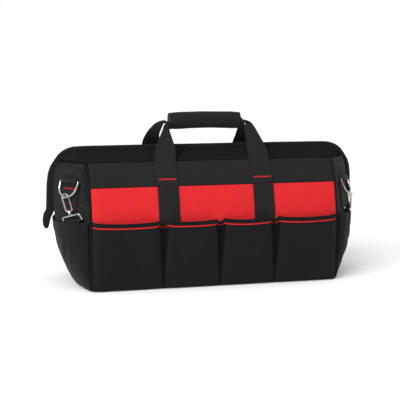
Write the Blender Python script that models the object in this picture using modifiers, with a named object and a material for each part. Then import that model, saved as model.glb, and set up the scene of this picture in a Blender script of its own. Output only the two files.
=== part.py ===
"""Wide-mouthed fabric tool bag, zipped shut, standing on its flat base.

Metres, +Z up, origin on the floor under the middle of the bag, +X along its length, front towards -Y.
"""

import math

import bmesh
import bpy
from mathutils import Vector

# Driving dimensions of the bag's body
BASE_LENGTH = 0.450
BASE_DEPTH = 0.190
BASE_THICKNESS = 0.003
SEAM_HEIGHT = 0.223
RIDGE_HEIGHT = 0.241
END_OVERHANG = 0.057
NOTCH_HEIGHT = 0.131
FABRIC = 0.0020
CLEARANCE = 0.0004

# Panels and pockets on the front
BAND_THICKNESS = 0.0012
BAND_TOP = 0.1805
UPPER_THICKNESS = 0.0018
POCKET_HEIGHT = 0.1245
POCKET_FABRIC = 0.0015
POCKET_DEPTH = 0.0125
BINDING_HEIGHT = 0.0075
BINDING_THICKNESS = 0.0026
PIPING_RADIUS = 0.0014
SEAM_CORD_RADIUS = 0.0022
POCKET_DIVIDERS = (-0.1000, 0.0035, 0.1050)

# End pockets
END_POCKET_HEIGHT = 0.1225
END_POCKET_GAP = 0.0105
HEM_HEIGHT = 0.026
HEM_THICKNESS = 0.0024

# Webbing, handles and grip
WEBBING_WIDTH = 0.038
WEBBING = 0.0016
STRIP_SPACING = 0.175
GRIP_LENGTH = 0.134
GRIP_HEIGHT = 0.032
GRIP_DEPTH = 0.028
GRIP_CENTRE = 0.2905
GRIP_CROWN = 0.002
GRIP_SEAT = 0.003
LEG_END_WIDTH = 0.30
LEG_END_FOLD = 2.4

# Zip
ZIP_THICKNESS = 0.005
ZIP_WIDTH = 0.0095
ZIP_RISE = 0.0028
TAIL_LENGTH = 0.030
TAIL_FLARE = {-1: 0.0130, 1: 0.0080}
TAIL_BREADTH = {-1: 1.55, 1: 1.0}
SLIDER_HEIGHT = 0.1445
SLIDER_LENGTH = 0.011
SLIDER_WALL = 0.0012
SLIDER_FACE = 0.0020
SLIDER_GRASP = 0.0042
BRIDGE_WIRE = 0.0009
BRIDGE_GAP = 0.0019
PULL_LENGTH = 0.027
PULL_WIDTH = 0.0072
PULL_THICKNESS = 0.0016
PULL_WIRE = 0.0009
PLATE_DROP = 0.0062
PLATE_LIFT = 0.0012

# Rings, hook and strap end
RING_HEIGHT = {-1: 0.190, 1: 0.182}
RING_PLACE = 0.60
RING_WIRE = 0.0020
RING_WIDTH = 0.0430
RING_DROP = 0.0290
TAB_LENGTH = 0.052
RING_TILT = 15.0
HOOK_WIRE = 0.0017
HOOK_WIDTH = 0.0148
HOOK_TURN = 56.0
HOOK_PLAY = 0.0016
NOSE_TURN = 8.0
HOOK_HEEL = 0.40
HOOK_FOOT = ((1.0, 0.45), (0.6, 1.0), (HOOK_HEEL, 1.0))
GATE_WIRE = 0.0013
GATE_GAP = 0.0006
GATE_TIP_GAP = 0.0011
SWIVEL_RADIUS = 0.0030
SWIVEL_LENGTH = 0.0060
SWIVEL_RINGS = ((-0.17, 0.9), (0.43, 1.0), (1.0, 0.75))
LOOP_WIRE = 0.0016
LOOP_WIDTH = 0.0455
LOOP_DROP = 0.0125
LOOP_CORNER = 0.0030
LOOP_LEAN = 15.0
LOOP_TIP = 27.0
LOOP_PLACE = 0.70
LOOP_SINK = 0.0010
STRAP_TONGUE = 0.026

# Body sections, bottom to top, as shares: height of SEAM_HEIGHT, depth of half BASE_DEPTH,
# corner of half BASE_LENGTH, reach of END_OVERHANG; roundness is 1 for a flat fold and 2 for a full curve.
SECTIONS = (
    {"height": 0.00, "depth": 1.000, "corner": 1.000, "reach": 0.26, "roundness": 2.3},
    {"height": 0.05, "depth": 1.006, "corner": 1.002, "reach": 0.42, "roundness": 2.3},
    {"height": 0.14, "depth": 1.015, "corner": 1.002, "reach": 0.54, "roundness": 2.2},
    {"height": 0.27, "depth": 1.030, "corner": 1.004, "reach": 0.70, "roundness": 2.0},
    {"height": 0.40, "depth": 1.035, "corner": 1.006, "reach": 0.82, "roundness": 1.8},
    {"height": 0.52, "depth": 1.030, "corner": 1.006, "reach": 0.91, "roundness": 1.6},
    {"height": 0.61, "depth": 0.995, "corner": 1.006, "reach": 0.97, "roundness": 1.4},
    {"height": 0.71, "depth": 0.940, "corner": 1.006, "reach": 1.00, "roundness": 1.25},
    {"height": 0.81, "depth": 0.875, "corner": 1.006, "reach": 1.01, "roundness": 1.2},
    {"height": 0.90, "depth": 0.760, "corner": 1.008, "reach": 0.98, "roundness": 1.2},
    {"height": 0.95, "depth": 0.670, "corner": 1.009, "reach": 0.91, "roundness": 1.2},
    {"height": 1.00, "depth": 0.590, "corner": 1.011, "reach": 0.78, "roundness": 1.2},
)

# A front pocket across, as shares of its width and of its depth: flat front, tucked pleats at both sides.
POCKET_ACROSS = (
    {"width": 0.00, "depth": 0.00},
    {"width": 0.035, "depth": 0.45},
    {"width": 0.10, "depth": 0.86},
    {"width": 0.22, "depth": 0.97},
    {"width": 0.38, "depth": 0.93},
    {"width": 0.52, "depth": 1.00},
    {"width": 0.68, "depth": 0.94},
    {"width": 0.80, "depth": 0.98},
    {"width": 0.90, "depth": 0.86},
    {"width": 0.965, "depth": 0.45},
    {"width": 1.00, "depth": 0.00},
)

# A front pocket upwards: how full it is at shares of its height.
POCKET_UPWARD = (
    {"height": 0.00, "fullness": 0.12},
    {"height": 0.12, "fullness": 0.45},
    {"height": 0.40, "fullness": 0.80},
    {"height": 0.75, "fullness": 0.92},
    {"height": 1.00, "fullness": 1.00},
)

# A free zip tail's inner edge, from the tip up to the notch, as shares of TAIL_LENGTH, TAIL_FLARE
# and ZIP_WIDTH.
TAIL = (
    {"drop": 1.00, "flare": 1.00, "width": 0.40},
    {"drop": 0.86, "flare": 0.90, "width": 0.66},
    {"drop": 0.65, "flare": 0.78, "width": 0.84},
    {"drop": 0.42, "flare": 0.66, "width": 0.94},
    {"drop": 0.20, "flare": 0.52, "width": 0.99},
    {"drop": 0.00, "flare": 0.20, "width": 1.00},
)

# The end pocket's stand-off from the end panel, from the middle of the end to its corner.
END_ACROSS = (
    {"side": 0.00, "gap": 0.02},
    {"side": 0.20, "gap": 0.45},
    {"side": 0.40, "gap": 1.00},
    {"side": 0.65, "gap": 1.00},
    {"side": 0.84, "gap": 0.92},
    {"side": 0.90, "gap": 0.55},
    {"side": 0.95, "gap": 0.12},
)

# Handle legs above the seam, with shares as columns: rise of the way from the seam to the grip's middle,
# spread of half STRIP_SPACING, out of the seam's depth, width of the webbing's width and fold of its
# thickness. Turn is in degrees.
FRONT_LEFT_LEG = (
    {"rise": 0.16, "spread": 0.985, "out": 0.98, "width": 1.00, "fold": 1.0, "turn": 0},
    {"rise": 0.36, "spread": 0.95, "out": 0.80, "width": 0.92, "fold": 1.2, "turn": 5},
    {"rise": 0.56, "spread": 0.91, "out": 0.55, "width": 0.66, "fold": 2.0, "turn": 14},
    {"rise": 0.73, "spread": 0.875, "out": 0.33, "width": 0.40, "fold": 3.2, "turn": 30},
    {"rise": 0.86, "spread": 0.855, "out": 0.21, "width": 0.32, "fold": 2.8, "turn": 50},
    {"rise": 0.93, "spread": 0.825, "out": 0.14, "width": 0.31, "fold": 2.4, "turn": 70},
)
FRONT_RIGHT_LEG = (
    {"rise": 0.16, "spread": 0.99, "out": 0.98, "width": 1.00, "fold": 1.0, "turn": 0},
    {"rise": 0.36, "spread": 0.97, "out": 0.80, "width": 0.86, "fold": 1.2, "turn": -8},
    {"rise": 0.56, "spread": 0.95, "out": 0.55, "width": 0.68, "fold": 1.6, "turn": -20},
    {"rise": 0.76, "spread": 0.925, "out": 0.36, "width": 0.56, "fold": 2.0, "turn": -30},
    {"rise": 0.90, "spread": 0.905, "out": 0.25, "width": 0.40, "fold": 1.8, "turn": -50},
    {"rise": 0.98, "spread": 0.865, "out": 0.16, "width": 0.33, "fold": 1.8, "turn": -72},
)
BACK_LEFT_LEG = (
    {"rise": 0.16, "spread": 1.00, "out": 0.98, "width": 1.00, "fold": 1.0, "turn": 0},
    {"rise": 0.36, "spread": 1.04, "out": 0.80, "width": 0.95, "fold": 1.2, "turn": 5},
    {"rise": 0.56, "spread": 1.05, "out": 0.55, "width": 0.70, "fold": 1.8, "turn": 16},
    {"rise": 0.76, "spread": 1.00, "out": 0.36, "width": 0.50, "fold": 2.4, "turn": 30},
    {"rise": 0.90, "spread": 0.92, "out": 0.24, "width": 0.40, "fold": 2.2, "turn": 50},
    {"rise": 0.98, "spread": 0.865, "out": 0.16, "width": 0.35, "fold": 2.0, "turn": 70},
)
BACK_RIGHT_LEG = (
    {"rise": 0.16, "spread": 0.99, "out": 0.98, "width": 1.00, "fold": 1.0, "turn": 0},
    {"rise": 0.36, "spread": 0.96, "out": 0.80, "width": 0.88, "fold": 1.2, "turn": -8},
    {"rise": 0.56, "spread": 0.92, "out": 0.55, "width": 0.64, "fold": 1.8, "turn": -18},
    {"rise": 0.76, "spread": 0.89, "out": 0.34, "width": 0.46, "fold": 2.6, "turn": -30},
    {"rise": 0.92, "spread": 0.87, "out": 0.22, "width": 0.38, "fold": 3.0, "turn": -42},
    {"rise": 0.99, "spread": 0.83, "out": 0.16, "width": 0.38, "fold": 3.0, "turn": -50},
)

# The padded grip along its length, as shares of half its length and of its thickness.
GRIP_STATIONS = (
    {"along": -1.00, "size": 0.90},
    {"along": -0.94, "size": 0.99},
    {"along": -0.55, "size": 1.00},
    {"along": 0.00, "size": 0.98},
    {"along": 0.55, "size": 1.00},
    {"along": 0.94, "size": 0.99},
    {"along": 1.00, "size": 0.90},
)
FOLD_STEPS = 12
GRIP_SIDES = 14
GRIP_SQUARENESS = 0.75

FRONT, BACK = -1, 1
LEFT, RIGHT = -1, 1

HALF_DEPTH = BASE_DEPTH / 2
HALF_LENGTH = BASE_LENGTH / 2
WALL_FOOT = BASE_THICKNESS + CLEARANCE
WALL_TOP = SEAM_HEIGHT - FABRIC - CLEARANCE
UPPER_FOOT = BAND_TOP + 3 * CLEARANCE
SLOT = ZIP_THICKNESS / 2 + CLEARANCE
MOUTH_SLOT = SLOT + FABRIC / 2
BAND_OUT = CLEARANCE + BAND_THICKNESS
STRIP_OUT = BAND_OUT + CLEARANCE + WEBBING
POCKET_SEAT = STRIP_OUT + CLEARANCE
UPPER_OUT = CLEARANCE + UPPER_THICKNESS
CORD_MARGIN = SEAM_CORD_RADIUS + CLEARANCE


def clear_scene():
    for thing in list(bpy.data.objects):
        bpy.data.objects.remove(thing, do_unlink=True)


def make_collection(name, hidden=False):
    collection = bpy.data.collections.new(name)
    bpy.context.scene.collection.children.link(collection)
    collection.hide_render = hidden
    return collection


def make_material(name, colour, roughness, metallic=0.0):
    material = bpy.data.materials.new(name)
    material.use_nodes = True
    shader = material.node_tree.nodes["Principled BSDF"]
    shader.inputs["Base Color"].default_value = (*colour, 1)
    shader.inputs["Roughness"].default_value = roughness
    shader.inputs["Metallic"].default_value = metallic
    return material


def place(name, data, colour, roughness=0.85, metallic=0.0):
    """A named object in the bag's collection, with a material of its own."""
    data.materials.append(make_material(name, colour, roughness, metallic))
    thing = bpy.data.objects.new(name, data)
    bpy.data.collections["tool_bag"].objects.link(thing)
    return thing


BLACK = (0.030, 0.031, 0.033)
WEBBING_BLACK = (0.022, 0.022, 0.024)
RED = (0.72, 0.03, 0.035)
STEEL = (0.70, 0.70, 0.70)


def between(rows, key, at, value):
    """The column value at a place between two rows of a table, on a straight line."""
    if at <= rows[0][key]:
        return rows[0][value]
    for low, high in zip(rows, rows[1:]):
        if at <= high[key]:
            share = (at - low[key]) / (high[key] - low[key])
            return low[value] + share * (high[value] - low[value])
    return rows[-1][value]


def section(height, column):
    return between(SECTIONS, "height", height / SEAM_HEIGHT, column)


def depth_at(height):
    return HALF_DEPTH * section(height, "depth")


def corner_at(height):
    return HALF_LENGTH * section(height, "corner")


def reach_at(height):
    return HALF_LENGTH + END_OVERHANG * section(height, "reach")


def slant(height, column, size):
    """How much further a sheet stands out level than square to the walls at a height."""
    steep = 0
    for low, high in zip(SECTIONS, SECTIONS[1:]):
        rise = (high["height"] - low["height"]) * SEAM_HEIGHT
        run = (high[column] - low[column]) * size
        if low["height"] * SEAM_HEIGHT - 0.001 <= height <= high["height"] * SEAM_HEIGHT + 0.001:
            steep = max(steep, abs(run / rise))
    return math.hypot(1, steep)


def levels(low, high):
    """The heights of the body's sections between two heights, with those two."""
    inner = [row["height"] * SEAM_HEIGHT for row in SECTIONS]
    return [low] + [z for z in inner if low + 0.002 < z < high - 0.002] + [high]


def end_point(side, across, height, out=0.0):
    """A point on an end panel: across runs from -1 at the front corner to 1 at the back one."""
    depth, corner, reach = depth_at(height), corner_at(height), reach_at(height)
    roundness, share = section(height, "roundness"), abs(across)
    x = corner + (reach - corner) * (1 - share**roundness)
    slope = roundness * (reach - corner) * max(share, 0.02) ** (roundness - 1)
    normal = Vector((depth, slope * share / max(share, 0.12) if share < 0.12 else slope)).normalized()
    turn = math.copysign(1, across) if across else 0
    return Vector((side * (x + out * normal.x), turn * (depth * share + out * normal.y), height))


def front_point(face, x, height, out=0.0):
    """A point on the front (face -1) or back (face 1) panel, out in front of it."""
    return Vector((x, face * (depth_at(height) + out * slant(height, "depth", HALF_DEPTH)), height))


def grid_wall(name, rows, thickness, colour, hole=lambda row, column: False, roughness=0.85):
    """A wall whose outer face is a grid of points, left to right and bottom to top as seen from outside."""
    shape = bmesh.new()
    points = [[shape.verts.new(point) for point in row] for row in rows]
    for i in range(len(rows) - 1):
        for j in range(len(rows[0]) - 1):
            if not hole(i, j):
                quad = (points[i][j], points[i][j + 1], points[i + 1][j + 1], points[i + 1][j])
                shape.faces.new(quad)
    loose = [vert for vert in shape.verts if not vert.link_faces]
    bmesh.ops.delete(shape, geom=loose, context="VERTS")
    mesh = bpy.data.meshes.new(name)
    shape.to_mesh(mesh)
    shape.free()
    thing = place(name, mesh, colour, roughness)
    wall = thing.modifiers.new("wall", "SOLIDIFY")
    wall.thickness = thickness
    wall.offset = -1
    wall.use_even_offset = True
    return thing


def loft(name, rings, colour, roughness=0.85, metallic=0.0):
    """A solid through closed rings of as many points each, with flat ends."""
    shape = bmesh.new()
    loops = [[shape.verts.new(point) for point in ring] for ring in rings]
    count = len(loops[0])
    for low, high in zip(loops, loops[1:]):
        for j in range(count):
            k = (j + 1) % count
            shape.faces.new((low[j], low[k], high[k], high[j]))
    shape.faces.new(list(reversed(loops[0])))
    shape.faces.new(loops[-1])
    bmesh.ops.recalc_face_normals(shape, faces=shape.faces)
    mesh = bpy.data.meshes.new(name)
    shape.to_mesh(mesh)
    shape.free()
    return place(name, mesh, colour, roughness, metallic)


def tube(name, points, radius, colour, closed=False, roughness=0.85, metallic=0.0):
    """A round cord or wire along a line of points."""
    curve = bpy.data.curves.new(name, "CURVE")
    curve.dimensions = "3D"
    curve.bevel_depth = radius
    curve.bevel_resolution = 2
    curve.use_fill_caps = True
    spline = curve.splines.new("POLY")
    spline.points.add(len(points) - 1)
    for spot, point in zip(spline.points, points):
        spot.co = (*point, 1)
    spline.use_cyclic_u = closed
    return place(name, curve, colour, roughness, metallic)


def joined(name, pieces, colour, roughness, metallic):
    """One solid from overlapping ones: each is made a mesh, and the rest are united with the first."""
    meshes = []
    for piece in pieces:
        graph = bpy.context.evaluated_depsgraph_get()
        mesh = bpy.data.meshes.new_from_object(piece.evaluated_get(graph))
        shape = bmesh.new()
        shape.from_mesh(mesh)
        bmesh.ops.remove_doubles(shape, verts=shape.verts, dist=0.00001)
        bmesh.ops.recalc_face_normals(shape, faces=shape.faces)
        shape.to_mesh(mesh)
        shape.free()
        mesh.materials.clear()
        bpy.data.objects.remove(piece)
        meshes.append(mesh)
    whole = place(name, meshes[0], colour, roughness, metallic)
    for number, mesh in enumerate(meshes[1:]):
        tool = bpy.data.objects.new(f"{name}_cutter_{number}", mesh)
        bpy.data.collections["cutters"].objects.link(tool)
        tool.hide_render = True
        tool.display_type = "WIRE"
        union = whole.modifiers.new("union", "BOOLEAN")
        union.operation = "UNION"
        union.object = tool
    return whole


def make_base():
    """The flat bottom, inside the outline of the walls."""
    steps = [-0.97 + 1.94 * i / 8 for i in range(9)]
    outline = [end_point(RIGHT, t, 0) for t in steps] + [end_point(LEFT, -t, 0) for t in steps]
    lifted = [point + Vector((0, 0, BASE_THICKNESS)) for point in outline]
    loft("base_panel", [outline, lifted], BLACK)


def make_long_panels():
    """Front and back panels from the base up to the sleeves' seam."""
    for face, name in ((FRONT, "front"), (BACK, "back")):
        rows = []
        for z in levels(WALL_FOOT, WALL_TOP):
            edge = corner_at(z) - CORD_MARGIN
            rows.append([front_point(face, -face * edge * share, z) for share in (-1, -0.5, 0, 0.5, 1)])
        grid_wall(f"{name}_panel", rows, FABRIC, BLACK)


def end_columns(height):
    """Places across an end panel, clear of the corner cords, with a column on each side of the zip."""
    depth = depth_at(height)
    slot = MOUTH_SLOT / depth
    edge = 1 - CORD_MARGIN * 1.2 / depth
    half = [slot + (edge - slot) * share for share in (0, 0.14, 0.34, 0.56, 0.78, 1)]
    return [-t for t in reversed(half)] + half


def make_end_panels():
    """Both ends, leaning out from the base, slit in the middle above the notch for the zip."""
    for side, name in ((LEFT, "left"), (RIGHT, "right")):
        heights = levels(WALL_FOOT, NOTCH_HEIGHT) + levels(NOTCH_HEIGHT, WALL_TOP)[1:]
        rows = [[end_point(side, side * t, z) for t in end_columns(z)] for z in heights]
        notch_row = heights.index(NOTCH_HEIGHT)
        middle = len(rows[0]) // 2 - 1
        grid_wall(f"end_panel_{name}", rows, FABRIC, BLACK, lambda i, j: i >= notch_row and j == middle)


def mouth_corner(share):
    """The mouth's edge from the top of an end panel, at share 0, round to the flat ridge, at 1."""
    start = Vector((reach_at(SEAM_HEIGHT), SEAM_HEIGHT))
    below = Vector((reach_at(0.95 * SEAM_HEIGHT), 0.95 * SEAM_HEIGHT))
    lean = (start - below) / (start.y - below.y)
    pull = start + lean * (RIDGE_HEIGHT - SEAM_HEIGHT)
    stop = Vector((corner_at(SEAM_HEIGHT) + 0.004, RIDGE_HEIGHT))
    return (1 - share) ** 2 * start + 2 * share * (1 - share) * pull + share**2 * stop


def make_sleeves():
    """The two top flaps from the seam up to the mouth, wrapping round the mouth's corners at both ends."""
    turns = (0.16, 0.28, 0.42, 0.6, 0.8)
    flats = (-1, -0.6, -0.2, 0.2, 0.6, 1)
    for face, name in ((FRONT, "front"), (BACK, "back")):
        columns = []
        foot = SEAM_HEIGHT + CLEARANCE

        def corner_column(side, share):
            low = end_point(side, face * max(share, MOUTH_SLOT / depth_at(foot)), foot)
            across = mouth_corner(share)
            return low, Vector((side * across.x, face * MOUTH_SLOT, max(across.y, foot + 0.001)))

        for share in turns:
            columns.append(corner_column(LEFT, share))
        for flat in flats:
            low = front_point(face, flat * corner_at(foot), foot)
            top = mouth_corner(1)
            columns.append((low, Vector((flat * top.x, face * MOUTH_SLOT, top.y))))
        for share in reversed(turns):
            columns.append(corner_column(RIGHT, share))
        if face == BACK:
            columns.reverse()
        rows = []
        for step in (0, 0.33, 0.66, 1):
            swell = 0.0022 * math.sin(math.pi * step)
            rows.append([low.lerp(top, step) + Vector((0, 0, swell)) for low, top in columns])
        grid_wall(f"{name}_sleeve", rows, FABRIC, BLACK)


def make_upper_panels():
    """Black strips of cloth below the sleeves, folded at their lower edge over the band."""
    for face, name in ((FRONT, "front"), (BACK, "back")):
        rows = []
        for z in levels(UPPER_FOOT, SEAM_HEIGHT - CLEARANCE):
            edge = corner_at(z) - CORD_MARGIN
            shares = (-1, -0.5, 0, 0.5, 1)
            rows.append([front_point(face, -face * edge * share, z, UPPER_OUT) for share in shares])
        grid_wall(f"{name}_upper_panel", rows, UPPER_THICKNESS, BLACK)


def make_band():
    """The red cloth on the front, which runs down behind the pockets."""
    rows = []
    for z in levels(WALL_FOOT, BAND_TOP):
        edge = corner_at(z) - CORD_MARGIN
        rows.append([front_point(FRONT, edge * share, z, BAND_OUT) for share in (-1, -0.5, 0, 0.5, 1)])
    grid_wall("red_band", rows, BAND_THICKNESS, RED)


def make_strips():
    """Webbing sewn down the front and the back, under the feet of the handles."""
    for face, name in ((FRONT, "front"), (BACK, "back")):
        out = STRIP_OUT if face == FRONT else CLEARANCE + WEBBING
        for side, hand in ((LEFT, "left"), (RIGHT, "right")):
            centre = side * STRIP_SPACING / 2
            rows = []
            for z in levels(WALL_FOOT, BAND_TOP):
                edges = (centre + face * WEBBING_WIDTH / 2, centre - face * WEBBING_WIDTH / 2)
                rows.append([front_point(face, x, z, out) for x in edges])
            grid_wall(f"{name}_strip_{hand}", rows, WEBBING, WEBBING_BLACK)


def make_seam_cords():
    """Piping down the four upright seams."""
    for face, name in ((FRONT, "front"), (BACK, "back")):
        for side, hand in ((LEFT, "left"), (RIGHT, "right")):
            points = []
            for z in levels(WALL_FOOT + CLEARANCE, SEAM_HEIGHT - 2 * CLEARANCE):
                points.append(Vector((side * corner_at(z), face * depth_at(z), z)))
            tube(f"{name}_piping_{hand}", points, SEAM_CORD_RADIUS, WEBBING_BLACK)


def pocket_edges():
    """Left and right edge of each front pocket."""
    outer = corner_at(POCKET_HEIGHT) - CORD_MARGIN - 0.001
    lines = [-outer, *POCKET_DIVIDERS, outer]
    inset = CLEARANCE
    return [(left + inset, right - inset) for left, right in zip(lines, lines[1:])]


def pocket_point(edges, across, height, out=0.0):
    """A point on the outer face of a front pocket."""
    left, right = edges
    top = POCKET_HEIGHT - WALL_FOOT
    fullness = between(POCKET_UPWARD, "height", (height - WALL_FOOT) / top, "fullness")
    swell = POCKET_DEPTH * fullness * across["depth"]
    x = left + (right - left) * across["width"]
    return front_point(FRONT, x, height, POCKET_SEAT + POCKET_FABRIC + swell + out)


def make_pockets():
    """Four front pockets, open at the top, each with a bound edge over a line of red piping."""
    wall_top = POCKET_HEIGHT - BINDING_HEIGHT - 2 * PIPING_RADIUS - 2 * CLEARANCE
    cord_height = wall_top + CLEARANCE + PIPING_RADIUS
    binding_foot = POCKET_HEIGHT - BINDING_HEIGHT
    for number, edges in enumerate(pocket_edges(), 1):
        upward = [WALL_FOOT + row["height"] * (POCKET_HEIGHT - WALL_FOOT) for row in POCKET_UPWARD]
        heights = sorted({WALL_FOOT, wall_top, *(z for z in upward if WALL_FOOT < z < wall_top - 0.004),
                          *(z for z in levels(WALL_FOOT, wall_top) if WALL_FOOT < z < wall_top)})
        rows = [[pocket_point(edges, across, z) for across in POCKET_ACROSS] for z in heights]
        grid_wall(f"front_pocket_{number}", rows, POCKET_FABRIC, BLACK)
        step_out = BINDING_THICKNESS - POCKET_FABRIC
        rows = [[pocket_point(edges, across, z, step_out) for across in POCKET_ACROSS]
                for z in (binding_foot, POCKET_HEIGHT)]
        grid_wall(f"pocket_binding_{number}", rows, BINDING_THICKNESS, WEBBING_BLACK)
        ends = (edges[0] + PIPING_RADIUS, edges[1] - PIPING_RADIUS)
        line = [pocket_point(ends, across, cord_height, -0.0003) for across in POCKET_ACROSS]
        tube(f"pocket_piping_{number}", line, PIPING_RADIUS, RED)


def end_pocket_columns(height):
    edge = 1 - CORD_MARGIN * 1.2 / depth_at(height)
    half = [row["side"] * edge / END_ACROSS[-1]["side"] for row in END_ACROSS]
    return [-t for t in reversed(half[1:])] + half


def end_pocket_point(side, across, height, thickness):
    """A point on the outer face of an end pocket."""
    edge = 1 - CORD_MARGIN * 1.2 / depth_at(height)
    place_in_table = abs(across) * END_ACROSS[-1]["side"] / edge
    full = min(1, (height - WALL_FOOT) / (0.35 * END_POCKET_HEIGHT))
    gap = END_POCKET_GAP * between(END_ACROSS, "side", place_in_table, "gap") * full
    sheet = (CLEARANCE + thickness) * slant(height, "reach", END_OVERHANG)
    return end_point(side, across, height, gap + sheet)


def make_end_pockets():
    """One wide pocket on each end, with a deep hem at its open top."""
    hem_foot = END_POCKET_HEIGHT - HEM_HEIGHT
    for side, hand in ((LEFT, "left"), (RIGHT, "right")):
        parts = (
            (f"end_pocket_{hand}", WALL_FOOT, hem_foot - CLEARANCE, POCKET_FABRIC),
            (f"end_hem_{hand}", hem_foot, END_POCKET_HEIGHT, HEM_THICKNESS),
        )
        for name, low, high, thickness in parts:
            rows = []
            for z in levels(low, high):
                rows.append([end_pocket_point(side, side * t, z, thickness) for t in end_pocket_columns(z)])
            grid_wall(name, rows, thickness, BLACK)


def zip_width(side, height):
    """The zip's width on one end: broadest at the notch, where its tail begins."""
    rise = min(1, max(0, (height - NOTCH_HEIGHT) / (SEAM_HEIGHT - NOTCH_HEIGHT)))
    return ZIP_WIDTH * (1 + (TAIL_BREADTH[side] - 1) * (1 - rise) ** 1.5)


def zip_path(side):
    """The zip on one half of the bag, from its free tail's tip up to the ridge: middle line and width."""
    rows = []
    for row in TAIL:
        width = zip_width(side, NOTCH_HEIGHT) * row["width"]
        inner = reach_at(NOTCH_HEIGHT) + ZIP_RISE - ZIP_WIDTH / 2 + TAIL_FLARE[side] * row["flare"]
        rows.append((Vector((inner + width / 2, NOTCH_HEIGHT - TAIL_LENGTH * row["drop"])), width))
    for z in levels(NOTCH_HEIGHT, SEAM_HEIGHT)[1:]:
        width = zip_width(side, z)
        rows.append((Vector((reach_at(z) + ZIP_RISE + (width - ZIP_WIDTH) / 2, z)), width))
    for share in (0.2, 0.4, 0.6, 0.8, 1.0):
        here, ahead, behind = (mouth_corner(share + step) for step in (0, 0.01, -0.01))
        along = (ahead - behind).normalized()
        rows.append((here + ZIP_RISE * Vector((along.y, -along.x)), ZIP_WIDTH))
    return rows


def make_zip():
    """The closed zip: a fin standing out of the mouth, with a free tail at each end."""
    left = [(Vector((-spot.x, spot.y)), width) for spot, width in zip_path(LEFT)]
    line = left + list(reversed(zip_path(RIGHT)))
    rings = []
    for index, (spot, width) in enumerate(line):
        before = line[max(0, index - 1)][0]
        after = line[min(len(line) - 1, index + 1)][0]
        along = (after - before).normalized()
        out = Vector((-along.y, along.x)) * width / 2
        half = ZIP_THICKNESS / 2
        corners = ((spot - out, -half), (spot + out, -half), (spot + out, half), (spot - out, half))
        rings.append([Vector((flat.x, y, flat.y)) for flat, y in corners])
    loft("zipper", rings, WEBBING_BLACK)


def zip_edge(height):
    """How far out the zip's outer edge stands at a height on the right end."""
    return reach_at(height) + ZIP_RISE - ZIP_WIDTH / 2 + zip_width(RIGHT, height)


def bridge_centre():
    face = max(zip_edge(SLIDER_HEIGHT + SLIDER_LENGTH / 2), zip_edge(SLIDER_HEIGHT - SLIDER_LENGTH / 2))
    return Vector((face + CLEARANCE + SLIDER_FACE + BRIDGE_GAP, 0, SLIDER_HEIGHT))


def pull_axis():
    """The pull's own bar, which hangs on the lower inside of the bridge."""
    return bridge_centre() - Vector((0, 0, BRIDGE_GAP - PULL_WIRE - CLEARANCE))


def make_slider():
    """The slider on the right end: a clip over the zip's edge with a wire bridge, and the hanging pull."""
    axis = bridge_centre()
    face = axis.x - BRIDGE_GAP
    floor = face - SLIDER_FACE
    inner = ZIP_THICKNESS / 2 + CLEARANCE
    outer = inner + SLIDER_WALL
    root = floor - SLIDER_GRASP
    outline = ((root, inner), (root, outer), (face, outer), (face, -outer),
               (root, -outer), (root, -inner), (floor, -inner), (floor, inner))
    half = SLIDER_LENGTH / 2
    rings = [[Vector((x, y, SLIDER_HEIGHT + z)) for x, y in outline] for z in (-half, half)]
    clip = loft("clip", rings, STEEL)
    radius = BRIDGE_GAP + BRIDGE_WIRE
    arc = [math.radians(-100 + 20 * step) for step in range(11)]
    bend = [axis + Vector((radius * math.cos(a), 0, radius * math.sin(a))) for a in arc]
    feet = [Vector((face - SLIDER_FACE / 2, 0, SLIDER_HEIGHT + sign * radius)) for sign in (-1, 1)]
    bridge = tube("bridge", [feet[0], *bend, feet[1]], BRIDGE_WIRE, STEEL)
    joined("zip_slider", [clip, bridge], STEEL, 0.25, 1.0)

    axis = pull_axis()
    arm = PULL_WIDTH / 2 - PULL_WIRE
    low = axis.z - PULL_LENGTH + arm
    bow = [math.radians(200 + 20 * step) for step in range(8)]
    ring = [Vector((axis.x, arm * math.cos(a), low + arm * math.sin(a))) for a in bow]
    frame = [Vector((axis.x, -arm, axis.z)), *ring, Vector((axis.x, arm, axis.z))]
    wire = tube("wire", frame, PULL_WIRE, STEEL, closed=True)
    plate_top, plate_foot = axis.z - PLATE_DROP, low + PLATE_LIFT
    waist = PULL_WIDTH / 2 - PULL_WIRE / 2
    edge = PULL_THICKNESS / 2
    corners = ((-edge, -waist), (edge, -waist), (edge, waist), (-edge, waist))
    rings = [[Vector((axis.x + x, y, z)) for x, y in corners] for z in (plate_foot, plate_top)]
    plate = loft("plate", rings, STEEL)
    joined("zip_pull", [wire, plate], STEEL, 0.25, 1.0)


def strap_ring(centre, across, normal, width, thickness):
    """Four corners of flat webbing at one place."""
    a, n = across * width / 2, normal * thickness / 2
    return [centre - a - n, centre + a - n, centre + a + n, centre - a + n]


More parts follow.
